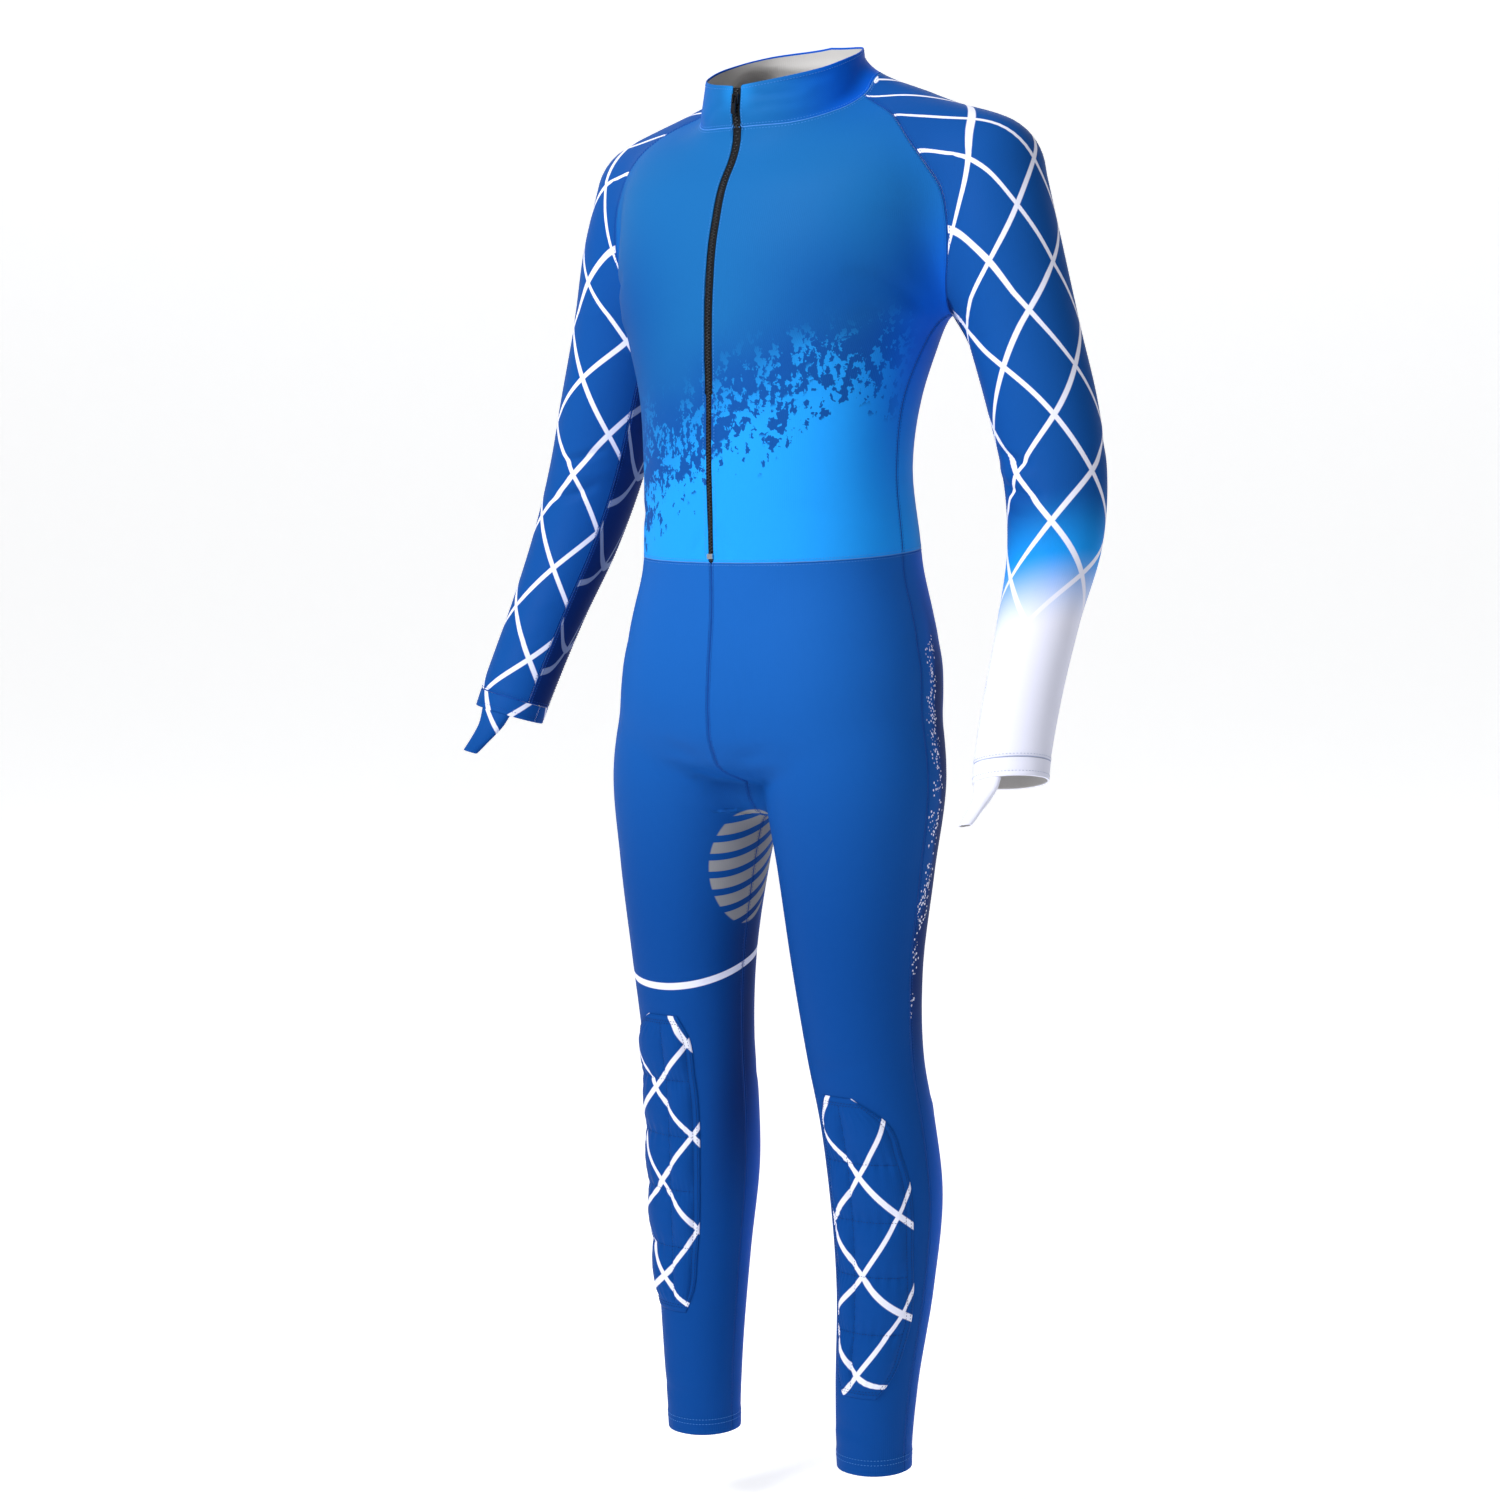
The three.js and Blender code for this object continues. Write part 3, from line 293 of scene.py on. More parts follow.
def mix(a, b, s):
    """The value a share s of the way from a to b."""
    return a + (b - a) * s


def shares(count, close=0.0):
    """Even shares from 0 to 1, with one more line close to each end."""
    even = np.linspace(0, 1, count + 1)
    return np.unique(np.concatenate([even, [close, 1 - close]])) if close else even


def polar(p, centre_y=BODY_CENTRE_Y):
    """Angle from the front, reach and height of points round the body's upright axis."""
    angle = np.arctan2(p[..., 0], -(p[..., 1] - centre_y))
    return np.stack([np.where(angle < 0, angle + 2 * np.pi, angle),
                     np.hypot(p[..., 0], p[..., 1] - centre_y), p[..., 2]], -1)


def patch(bottom, top, left, right, across, up):
    """Coons patch between four edges, blended in angle, reach and height, laid on the form."""
    low, high, near, far = (polar(np.asarray(edge)) for edge in (bottom, top, left, right))
    u, v = across[None, :, None], up[:, None, None]
    blend = (mix(low[None], high[None], v) + mix(near[:, None], far[:, None], u)
             - mix(mix(low[0], low[-1], u), mix(high[0], high[-1], u), v))
    angle, reach, z = np.moveaxis(blend, -1, 0)
    grid = np.stack([reach * np.sin(angle), BODY_CENTRE_Y - reach * np.cos(angle), z], -1)
    grid = settle(grid)
    grid[0], grid[-1], grid[:, 0], grid[:, -1] = bottom, top, left, right
    return grid


def sweep(start, end, across):
    """Rows swept round the leg's upright axis from one edge to another, laid on the form."""
    def turned(p):
        """Angle from the front, reach and height round the leg's axis."""
        ax, ay = along(LEG, 1, p[:, 2]), along(LEG, 2, p[:, 2])
        return np.arctan2(p[:, 0] - ax, ay - p[:, 1]), np.hypot(p[:, 0] - ax, p[:, 1] - ay), p[:, 2]

    (a0, r0, z0), (a1, r1, z1) = turned(start), turned(end)
    a1 = np.where(a1 < a0, a1 + 2 * np.pi, a1)
    s = across[None, :]
    angle, reach, z = (mix(a[:, None], b[:, None], s) for a, b in ((a0, a1), (r0, r1), (z0, z1)))
    grid = np.stack([along(LEG, 1, z) + reach * np.sin(angle),
                     along(LEG, 2, z) - reach * np.cos(angle), z], -1)
    grid = settle(grid)
    grid[:, 0], grid[:, -1] = start, end
    return grid


def neck_ring(heights, reach, angle):
    """Rough points of a ring round the neck, at angles from the front in degrees."""
    turn = np.radians(angle)
    folded = np.where(np.asarray(angle) > 180, 360 - np.asarray(angle), angle)
    return np.stack([reach[0] * np.sin(turn), NECK_CENTRE_Y - reach[1] * np.cos(turn),
                     along(heights, 1, folded)], -1)


def raglan(rough, angle, name, under_shares, rise_shares):
    """A raglan seam from the armpit to the neck: its stretch by the underarm panel, and the rest."""
    ends = [*rough, tuple(neck_ring(NECK_SEAM, SEAM_REACH, np.array([angle]))[0])]
    _, length = smooth_line(ends, [0, 1])
    corner = UNDERARM_REACH[name] / length
    under, _ = smooth_line(ends, under_shares * corner)
    rise, _ = smooth_line(ends, mix(corner, 1, rise_shares))
    return settle(under), settle(rise)


def waist_ring(angle):
    """Points of the waist seam, level at the front and rising towards the back."""
    turn = np.radians(angle)
    height = mix(WAIST_FRONT, WAIST_BACK, (1 - np.cos(turn)) / 2)
    ring = np.stack([WAIST_REACH[0] * np.sin(turn),
                     BODY_CENTRE_Y - WAIST_REACH[1] * np.cos(turn), height], -1)
    return settle(ring)


def sided(grid, sign):
    """A grid of the wearer's left as it is for 1, and its mirror image for -1."""
    return grid * np.array([sign, 1, 1])


def arm_ring(stations, angles):
    """Rings of the arm: angles count from the inner arm round by the front, in degrees."""
    t, turn = np.asarray(stations, float)[:, None, None], np.radians(angles)[None, :, None]
    cf, co, depth, breadth = (along(ARM, c, t) for c in (1, 2, 3, 4))
    rough = (SHOULDER + DOWN_ARM * t + FORE_ARM * (cf + depth * np.sin(turn))
             + OUT_ARM * (co - breadth * np.cos(turn)))
    return settle(rough)


# How finely the panels are drawn: lines across and along each, 5 to 6 mm apart.
FRONT_ACROSS = shares(60, 0.012)
BACK_ACROSS = shares(84, 0.007)
SIDE_UP = shares(60, 0.01)[:-1]
UNDER_FRONT, UNDER_BACK = shares(5), shares(12)
RAGLAN_UP = shares(42, 0.011)
SLEEVE_ACROSS = shares(84, 0.011)
SLEEVE_DOWN = shares(124, 0.004)
LEG_ACROSS = shares(42, 0.012)
HIP_DOWN, LEG_DOWN = shares(46, 0.01), shares(126, 0.0035)
ZIP_UP = shares(90)
COLLAR_UP = shares(14, 0.03)
COLLAR_FRONT, COLLAR_SHOULDER, COLLAR_BACK = shares(34, 0.012), shares(16), shares(30)

front_under, front_rise = raglan(RAGLAN_FRONT, RAGLAN_FRONT_ANGLE, "front", UNDER_FRONT, RAGLAN_UP)
back_under, back_rise = raglan(RAGLAN_BACK, RAGLAN_BACK_ANGLE, "back", UNDER_BACK, RAGLAN_UP)
ARMPIT, NECK_FRONT_END, NECK_BACK_END = front_under[0], front_rise[-1], back_rise[-1]
ZIP_ANGLE = math.degrees(math.asin(ZIP_EDGE / SEAM_REACH[0]))


def zip_line(x, heights):
    """Points up the zip at one distance from its middle."""
    rough = np.stack([np.full_like(heights, x), np.where(heights > NECK_SEAM[0, 1], COLLAR_START_Y,
                                                        CHEST_START_Y), heights], -1)
    return settle(rough, keep_x=True, rounds=12)


def neck_seam(lines, start, end, first=None, last=None):
    """Points of the neck seam between two angles, with its ends made exact."""
    ring = settle(neck_ring(NECK_SEAM, SEAM_REACH, mix(start, end, lines)))
    if first is not None:
        ring[0] = first
    if last is not None:
        ring[-1] = last
    return ring


def front_panel():
    """Left chest panel: waist, neck, zip and side edges joined by a Coons patch."""
    bottom = waist_ring(SIDE_ANGLE * FRONT_ACROSS)
    bottom[0] = zip_line(ZIP_EDGE, np.array([WAIST_FRONT + 0.0]))[0]
    top_start = zip_line(ZIP_EDGE, np.array([NECK_SEAM[0, 1]]))[0]
    top = neck_seam(FRONT_ACROSS, ZIP_ANGLE, RAGLAN_FRONT_ANGLE, top_start, NECK_FRONT_END)
    side, _ = smooth_line([bottom[-1], *SIDE_SEAM, ARMPIT], np.append(SIDE_UP, 1))
    side = settle(side)
    right = np.vstack([side[:-1], front_under, front_rise[1:]])
    steps = np.concatenate([[0], np.cumsum(np.linalg.norm(np.diff(right, axis=0), axis=1))])
    up = steps / steps[-1]
    left = zip_line(ZIP_EDGE, mix(bottom[0, 2], top_start[2], up))
    left[0], left[-1] = bottom[0], top[0]
    return patch(bottom, top, left, right, FRONT_ACROSS, up)


def back_panel():
    """Back panel: waist, neck and both side edges joined by a Coons patch."""
    bottom = waist_ring(mix(SIDE_ANGLE, 360 - SIDE_ANGLE, BACK_ACROSS))
    other_end = sided(NECK_BACK_END, -1)
    top = neck_seam(BACK_ACROSS, RAGLAN_BACK_ANGLE, 360 - RAGLAN_BACK_ANGLE, NECK_BACK_END, other_end)
    side, _ = smooth_line([bottom[0], *SIDE_SEAM, ARMPIT], np.append(SIDE_UP, 1))
    side = settle(side)
    left = np.vstack([side[:-1], back_under, back_rise[1:]])
    steps = np.concatenate([[0], np.cumsum(np.linalg.norm(np.diff(left, axis=0), axis=1))])
    return patch(bottom, top, left, sided(left, -1), BACK_ACROSS, steps / steps[-1])


def leg_panels():
    """Left front and back of the leg, from the waist seam to the hem."""
    heights = mix(CROTCH_HEIGHT, HEM_HEIGHT, LEG_DOWN)

    def leg_edge(side):
        """The outer seam for 1 and the inseam for -1."""
        x = along(LEG, 1, heights) + side * along(LEG, 3, heights)
        return settle(np.stack([x, along(LEG, 2, heights), heights], -1))

    waist_side = waist_ring(np.array([float(SIDE_ANGLE)]))[0]
    outer_leg, inner_leg = leg_edge(1), leg_edge(-1)
    hip, _ = smooth_line([waist_side, *HIP_SEAM, outer_leg[0]], HIP_DOWN)
    outer = np.vstack([settle(hip)[:-1], outer_leg])
    centres = [settle(smooth_line(rough, HIP_DOWN)[0], keep_x=True, rounds=12)
               for rough in (CENTRE_FRONT, CENTRE_BACK)]
    centres[1][-1] = centres[0][-1]
    inner = [np.vstack([centre, inner_leg[1:]]) for centre in centres]
    front = sweep(inner[0], outer, LEG_ACROSS)
    back = sweep(outer, inner[1], LEG_ACROSS)
    front[0] = waist_ring(SIDE_ANGLE * LEG_ACROSS)
    back[0] = waist_ring(mix(SIDE_ANGLE, 180, LEG_ACROSS))
    return front, back


def shoulder_rows():
    """Sleeve rows that cross the shoulder from the front raglan seam to the back one."""
    half = neck_seam(np.array([0.5]), RAGLAN_FRONT_ANGLE, RAGLAN_BACK_ANGLE)[0]
    crest = settle(smooth_line([*CREST, half], RAGLAN_UP)[0])[:, None]
    start, end = front_rise[:, None], back_rise[:, None]
    middle = (start + end) / 2
    turn = (np.pi * SLEEVE_ACROSS)[None, :, None]
    fill = (SHOULDER_FILL * (1 - RAGLAN_UP))[:, None, None]
    rows = settle(middle + (start - middle) * np.cos(turn) * (1 + fill * np.sin(turn))
                  + (crest - middle) * np.sin(turn))
    rows[:, 0], rows[:, -1] = front_rise, back_rise
    rows[-1] = neck_seam(SLEEVE_ACROSS, RAGLAN_FRONT_ANGLE, RAGLAN_BACK_ANGLE, NECK_FRONT_END,
                         NECK_BACK_END)
    return rows[::-1]


def sleeve_panels(end):
    """Left outer sleeve from neck to cuff seam, and the narrow underarm panel."""
    stations = mix(FIRST_RING, end, SLEEVE_DOWN)
    outer_angles = mix(UNDERARM_ANGLES["front"], 360 + UNDERARM_ANGLES["back"], SLEEVE_ACROSS)
    armpit = np.vstack([back_under[::-1], front_under[1:]])
    under_angles = mix(UNDERARM_ANGLES["back"], UNDERARM_ANGLES["front"], shares(len(armpit) - 1))
    outer = np.vstack([shoulder_rows(), arm_ring(stations, outer_angles)])
    under = np.vstack([armpit[None], arm_ring(stations, under_angles)])
    return outer, under


# Soft troughs and ridges, listed one by one. Columns: from x, y, z, to x, y, z, sideways bow,
# depth (below zero is a trough) and half width, all in millimetres.
CREASES = {
    "collar": [
        (8, -101, 1474, 66, -78, 1476, 4, -1.9, 4.0),
        (14, -101, 1462, 72, -66, 1480, 4, 1.0, 5.0),
        (10, -101, 1456, 60, -82, 1462, -3, -1.7, 4.0),
        (40, -94, 1482, 78, -50, 1494, 3, -0.8, 3.5),
        (-8, -101, 1466, -48, -90, 1450, 3, -1.0, 5.0),
        (-60, 20, 1500, 30, 52, 1512, 4, -1.1, 6.0),
        (-70, -10, 1490, -30, 48, 1500, -4, 0.9, 6.0),
    ],
    "front": [
        (12, -146, 1052, 26, -146, 1016, 3, -1.7, 4.0),
        (14, -146, 1060, 28, -144, 1030, 3, 0.5, 3.5),
        (-12, -146, 1048, -27, -146, 1016, -3, -1.6, 4.0),
        (182, -40, 1262, 134, -114, 1292, 8, -2.6, 7.5),
        (182, -30, 1246, 128, -116, 1262, 10, 1.3, 9.0),
        (-182, -40, 1262, -136, -114, 1298, -8, -2.5, 7.5),
        (-180, -30, 1240, -126, -112, 1256, -9, 1.2, 9.0),
        (150, -60, 1040, 70, -140, 1066, 8, -1.0, 9.0),
        (-148, -60, 1046, -84, -132, 1060, -6, -1.1, 8.0),
        (196, -48, 1330, 150, -92, 1350, 5, -1.1, 8.0),
    ],
    "back": [
        (-120, 62, 1092, -20, 74, 1070, 9, -1.9, 10.0),
        (120, 60, 1100, 30, 76, 1082, -9, -1.7, 11.0),
        (-104, 70, 1068, 44, 78, 1052, 8, 1.3, 9.0),
        (-136, 30, 1128, -60, 74, 1112, 6, -1.5, 9.0),
        (134, 30, 1140, 52, 76, 1120, -7, -1.4, 10.0),
        (186, 30, 1290, 120, 88, 1330, 9, -2.1, 11.0),
        (-186, 30, 1292, -112, 90, 1340, -9, -2.2, 11.0),
        (178, 34, 1268, 110, 86, 1290, 8, 1.3, 9.0),
        (-24, 84, 1440, 20, 86, 1400, 4, -0.9, 9.0),
    ],
    "leg_front": [
        (10, -140, 812, 70, -132, 842, 6, -1.6, 8.0),
        (-10, -140, 815, -66, -134, 838, -6, -1.5, 8.0),
        (18, -118, 792, 92, -126, 806, 6, -1.2, 8.0),
        (-16, -118, 792, -86, -128, 808, -6, -1.3, 8.0),
        (60, -90, 506, 150, -84, 516, 6, -1.3, 7.0),
        (-62, -92, 566, -140, -90, 560, 6, -1.0, 7.0),
        (84, -56, 138, 146, -44, 130, 4, -1.1, 5.0),
        (80, -44, 120, 138, -56, 114, -3, 0.8, 4.5),
        (-82, -54, 128, -146, -44, 138, -4, -1.1, 5.0),
        (-78, -46, 150, -128, -60, 156, 4, -0.8, 5.0),
    ],
    "leg_back": [
        (62, 10, 470, 158, 14, 482, -7, -2.1, 8.0),
        (60, 6, 492, 150, 20, 500, 6, -1.6, 7.0),
        (70, 24, 448, 160, 8, 456, 6, 1.2, 8.0),
        (-60, 10, 476, -158, 12, 468, 7, -2.0, 8.0),
        (-62, 8, 498, -150, 18, 504, -6, -1.5, 7.0),
        (-74, 24, 450, -158, 8, 446, -6, 1.1, 8.0),
        (16, 66, 812, 128, 52, 786, 10, -1.8, 9.0),
        (-16, 66, 812, -126, 52, 790, -10, -1.7, 9.0),
        (84, 14, 140, 140, 10, 128, 4, -1.2, 5.0),
        (-84, 14, 132, -140, 10, 142, -4, -1.2, 5.0),
    ],
    "sleeve_left": [
        (258, -4, 1130, 304, -38, 1110, 7, -3.4, 4.6),
        (256, 6, 1112, 310, -34, 1096, 7, 1.6, 5.2),
        (262, -12, 1092, 320, -36, 1078, 6, -3.1, 4.4),
        (266, -26, 1066, 314, -42, 1062, 4, -2.0, 4.6),
        (332, 62, 1140, 354, 10, 1116, -5, -1.3, 8.0),
        (210, 4, 1270, 246, -44, 1256, 8, -2.0, 9.0),
        (214, -20, 1246, 252, -46, 1226, 6, -1.2, 8.0),
        (206, 60, 1284, 250, 74, 1262, 6, -1.9, 9.0),
        (292, -78, 900, 330, -96, 888, 4, -0.9, 5.0),
    ],
    "sleeve_right": [
        (-258, -4, 1132, -302, -37, 1116, -7, -3.2, 4.6),
        (-256, 4, 1110, -308, -28, 1100, -7, 1.3, 6.0),
        (-262, -14, 1090, -316, -37, 1074, -5, -2.9, 4.5),
        (-334, 60, 1146, -352, 12, 1124, 5, -1.3, 8.0),
        (-208, 6, 1272, -246, -42, 1258, -8, -2.0, 9.0),
        (-206, 60, 1280, -252, 72, 1258, -6, -1.9, 9.0),
        (-292, -70, 926, -330, -86, 914, -4, -0.9, 5.0),
        (-286, -60, 962, -326, -66, 950, -4, 0.7, 6.0),
    ],
    "underarm": [
        (262, 20, 1128, 276, -26, 1112, 4, -2.0, 6.0),
        (262, 14, 1100, 280, -30, 1092, 4, -1.6, 6.0),
        (-262, 20, 1124, -276, -26, 1110, -4, -1.9, 6.0),
        (-262, 12, 1096, -282, -30, 1086, -4, -1.5, 6.0),
    ],
}
CREASE_STEPS, CREASE_DEPTH = 12, 1.25


def crease_height(points, name):
    """Sum of the creases: depth x a bell across the line x a taper towards its two ends."""
    total = np.zeros(points.shape[:-1])
    for x0, y0, z0, x1, y1, z1, bow, depth, half in CREASES.get(name, []):
        start, end = np.array([x0, y0, z0], float), np.array([x1, y1, z1], float)
        reach = half * 3.5 + abs(bow)
        low, high = np.minimum(start, end) - reach, np.maximum(start, end) + reach
        near = np.all((points > low) & (points < high), axis=-1)
        if not near.any():
            continue
        side = unit(np.cross(end - start, slope(((start + end) / 2)[None])[0]))
        s = np.linspace(0, 1, CREASE_STEPS)[:, None]
        line = settle(start + (end - start) * s + side * bow * 4 * s * (1 - s))
        gaps = np.linalg.norm(points[near][:, None] - line[None], axis=-1)
        nearest = gaps.argmin(axis=1)
        step = np.clip(nearest, 1, CREASE_STEPS - 2)
        tangent = unit(line[step + 1] - line[step - 1])
        offset = points[near] - line[nearest]
        run = np.sum(offset * tangent, axis=1)
        across = np.sqrt(np.maximum(np.sum(offset ** 2, axis=1) - run ** 2, 0))
        length = np.linalg.norm(end - start)
        place = np.clip(s[nearest, 0] + run / length, -0.2, 1.2)
        taper = np.sin(np.pi * np.clip(place, 0, 1)) ** 0.8
        total[near] += depth * CREASE_DEPTH * np.exp(-(across / half) ** 2) * taper
    return total


# Each edge's line of a grid and the line beside it.
EDGE_LINES = {
    "bottom": (np.s_[0], np.s_[1]), "top": (np.s_[-1], np.s_[-2]),
    "left": (np.s_[:, 0], np.s_[:, 1]), "right": (np.s_[:, -1], np.s_[:, -2]),
}


def inset(grid, amount, edges):
    """Draws edges in along the cloth, square to each edge, by amount."""
    moved = grid.copy()
    for name in edges:
        line, beside = EDGE_LINES[name]
        tangent = unit(np.gradient(grid[line], axis=0))
        way = grid[beside] - grid[line]
        way = unit(way - tangent * np.sum(way * tangent, axis=-1, keepdims=True))
        moved[line] += way * amount
    return moved


def cloth_uv(grid, looped, anchor=0):
    """Distances across and down the cloth in metres, counted from its middle column and anchor row."""
    middle = grid.shape[1] // 2
    across = np.linalg.norm(np.diff(grid, axis=1), axis=-1)
    u = np.concatenate([np.zeros((len(grid), 1)), np.cumsum(across, axis=1)], axis=1)
    u = u - (0 if looped else 1) * u[:, middle:middle + 1]
    down = np.linalg.norm(np.diff(grid, axis=0), axis=-1)
    v = np.concatenate([np.zeros((1, grid.shape[1])), np.cumsum(down, axis=0)])
    v = v - v[anchor] + v[anchor, middle]
    return np.stack([u, v], -1) / 1000


RIM_STEPS = 3


def add_mesh(name, points, faces, uv=None, inner_faces=None):
    """A mesh object at the origin from points in millimetres and lists of corner numbers."""
    mesh = bpy.data.meshes.new(name)
    metres = (np.asarray(points, float).reshape(-1, 3) - [0, 0, HOLD_HEIGHT]) / 1000
    mesh.from_pydata(metres.tolist(), [], faces)
    if uv is not None:
        layer = mesh.uv_layers.new(name="cloth")
        corners = np.zeros(len(mesh.loops), np.int32)
        mesh.loops.foreach_get("vertex_index", corners)
        layer.data.foreach_set("uv", uv.reshape(-1, 2)[corners].astype(np.float32).ravel())
    if inner_faces is not None:
        mesh.polygons.foreach_set("material_index", inner_faces.astype(np.int32))
    mesh.polygons.foreach_set("use_smooth", np.ones(len(mesh.polygons), bool))
    mesh.update()
    made = bpy.data.objects.new(name, mesh)
    bpy.context.scene.collection.objects.link(made)
    return made


def face_outwards(faces, points):
    """Turns the faces round if the closed mesh encloses a volume below zero."""
    corners = np.asarray(points).reshape(-1, 3)[np.asarray(faces)]
    a, b, c, d = (corners[:, k] - corners.mean(axis=(0, 1)) for k in range(4))
    volume = np.sum(a * (np.cross(b, c) + np.cross(c, d)))
    return faces if volume > 0 else faces[:, ::-1]


def rim(start, end, beyond, steps):
    """Rows of a half circle from the edge of one face round to the other's, bulging beyond it."""
    middle, half = (start + end) / 2, (start - end) / 2
    way = unit(beyond) * np.linalg.norm(half, axis=-1, keepdims=True)
    turn = np.pi * (np.arange(steps) + 1) / (steps + 1)
    return np.array([middle + half * np.cos(a) + way * np.sin(a) for a in turn]).reshape(-1, *start.shape)


def end_cap(column, size, steps, flip):
    """Faces that close one end of a wall: a strip between its two faces and a fan in each rim."""
    outer, inner = column[:size], column[size + steps:2 * size + steps][::-1]
    parts = [np.stack([outer[:-1], outer[1:], inner[1:], inner[:-1]], -1)]
    for ring in (column[size - 1:size + steps + 1], np.append(column[2 * size + steps - 1:], column[0])):
        parts.append(np.stack([np.full(len(ring) - 2, ring[0]), ring[1:-1], ring[2:], ring[2:]], -1))
    cap = np.concatenate(parts)
    return cap[:, ::-1] if flip else cap


def wall(name, outer, inner, guide, uv, looped=False, steps=RIM_STEPS, fold=0):
    """A closed wall between an outer and an inner grid.

    The profile runs up the outer face, round the top edge in a half circle, down the inner
    face and round the bottom edge; each column of the grid carries that profile. The guide's
    first and last rows say which way the edges bulge, and fold is how many rows of the inner
    face show the outer side's material.
    """
    size = len(outer)
    rows = np.concatenate([outer, rim(outer[-1], inner[-1], guide[-1] - guide[-2], steps),
                           inner[::-1], rim(inner[0], outer[0], guide[0] - guide[1], steps)])
    rows_uv = np.concatenate([uv, np.repeat(uv[-1:], steps, 0), uv[::-1], np.repeat(uv[:1], steps, 0)])
    index = np.arange(rows.shape[0] * rows.shape[1]).reshape(rows.shape[:2])
    after = np.roll(index, -1, axis=0)
    quads = np.stack([index, np.roll(index, -1, 1), np.roll(after, -1, 1), after], -1)
    if not looped:
        quads = quads[:, :-1]
    is_inner = np.zeros(len(rows), int)
    is_inner[size + steps - 1 + fold:2 * size + steps] = 1
    faces, flags = quads.reshape(-1, 4), np.repeat(is_inner, quads.shape[1])
    if not looped:
        caps = [end_cap(index[:, column], size, steps, column < 0) for column in (0, -1)]
        faces = np.concatenate([faces, *caps])
        flags = np.append(flags, np.zeros(len(faces) - len(flags), int))
    faces = face_outwards(faces, rows).tolist()
    return add_mesh(name, rows, [list(dict.fromkeys(face)) for face in faces], rows_uv, flags)


def note_cut(made, uv, area):
    """Keeps the size and area, in metres, of the flat cut that the drawn cloth is stretched from."""
    made["flat_width"] = float((uv[:, -1, 0] - uv[:, 0, 0]).max() / STRETCH)
    made["flat_length"] = float(np.ptp(uv[..., 1], axis=0).max() / STRETCH)
    made["flat_area"] = float(area / STRETCH ** 2)


def cloth_wall(name, grid, edges, thickness=CLOTH, looped=False, creases=None, extra=0.0, anchor=0,
               fold=0):
    """A wall of cloth that stands out from its grid by its thickness and creases.

    Its edges are drawn in by half a seam gap and by their own rounding.
    """
    laid = inset(grid, SEAM_GAP / 2 + thickness / 2, edges)
    normal = unit(slope(laid))
    shift = crease_height(laid, creases)
    outer = laid + normal * (thickness + shift + extra)[..., None]
    inner = laid + normal * np.minimum(shift, 0)[..., None]
    uv = cloth_uv(grid, looped, anchor)
    made = wall(name, outer, inner, laid, uv, looped, fold=fold)
    diagonals = np.cross(grid[1:, 1:] - grid[:-1, :-1], grid[1:, :-1] - grid[:-1, 1:])
    note_cut(made, uv, np.linalg.norm(diagonals, axis=-1).sum() / 2e6)
    return made


def linear(text):
    """An sRGB hex colour as linear red, green, blue and alpha."""
    parts = [int(text[k:k + 2], 16) / 255 for k in (1, 3, 5)]
    return tuple(c / 12.92 if c <= 0.04045 else ((c + 0.055) / 1.055) ** 2.4 for c in parts) + (1.0,)


def node(tree, kind, ins=None, **settings):
    """Adds a node, sets what is named, and links or sets its inputs."""
    made = tree.nodes.new(kind)
    for key, value in settings.items():
        setattr(made, key, value)
    for key, value in (ins or {}).items():
        if isinstance(value, bpy.types.NodeSocket):
            tree.links.new(value, made.inputs[key])
        else:
            made.inputs[key].default_value = value
    return made


def new_material(name, colour, roughness, **shader):
    """A material with one Principled shader; uniform numbers go on its own sockets."""
    made = bpy.data.materials.new(name)
    made.use_nodes = True
    tree = made.node_tree
    surface = next(n for n in tree.nodes if n.type == "BSDF_PRINCIPLED")
    surface.inputs["Base Color"].default_value = colour
    surface.inputs["Roughness"].default_value = roughness
    for key, value in shader.items():
        surface.inputs[key.replace("_", " ")].default_value = value
    return made, tree, surface


def band(tree, value, low, high, rising=True):
    """A soft step: 0 below low and 1 above high, or the other way round."""
    ends = (0.0, 1.0) if rising else (1.0, 0.0)
    made = node(tree, "ShaderNodeMapRange", {0: value, 1: low, 2: high, 3: ends[0], 4: ends[1]},
                interpolation_type="SMOOTHSTEP")
    return made.outputs[0]


def sums(tree, operation, a, b, c=None):
    """The result of one arithmetic step on two or three values."""
    ins = {0: a, 1: b} if c is None else {0: a, 1: b, 2: c}
    return node(tree, "ShaderNodeMath", ins, operation=operation).outputs[0]


def blend(tree, share, a, b):
    """Colour a where share is 0 and colour b where it is 1."""
    made = node(tree, "ShaderNodeMix", {0: share, 6: a, 7: b}, data_type="RGBA")
    return made.outputs[2]


KNIT_PITCH = 1.1


def knit_bump(tree, surface, uv, strength=0.22):
    """Fine ribs of a warp knit, drawn 1.1 mm apart so that they show, over a faint unevenness."""
    fineness = 1000 / KNIT_PITCH / 2 / math.pi
    ribs = node(tree, "ShaderNodeTexWave", {"Vector": uv, "Scale": fineness, "Distortion": 0.6,
                                            "Detail": 1.0}, bands_direction="X")
    rough = node(tree, "ShaderNodeTexNoise", {"Vector": uv, "Scale": 260.0, "Detail": 3.0})
    both = sums(tree, "MULTIPLY_ADD", rough.outputs[0], 0.6, ribs.outputs["Fac"])
    bump = node(tree, "ShaderNodeBump", {"Strength": strength, "Distance": 0.00025, "Height": both})
    tree.links.new(bump.outputs[0], surface.inputs["Normal"])


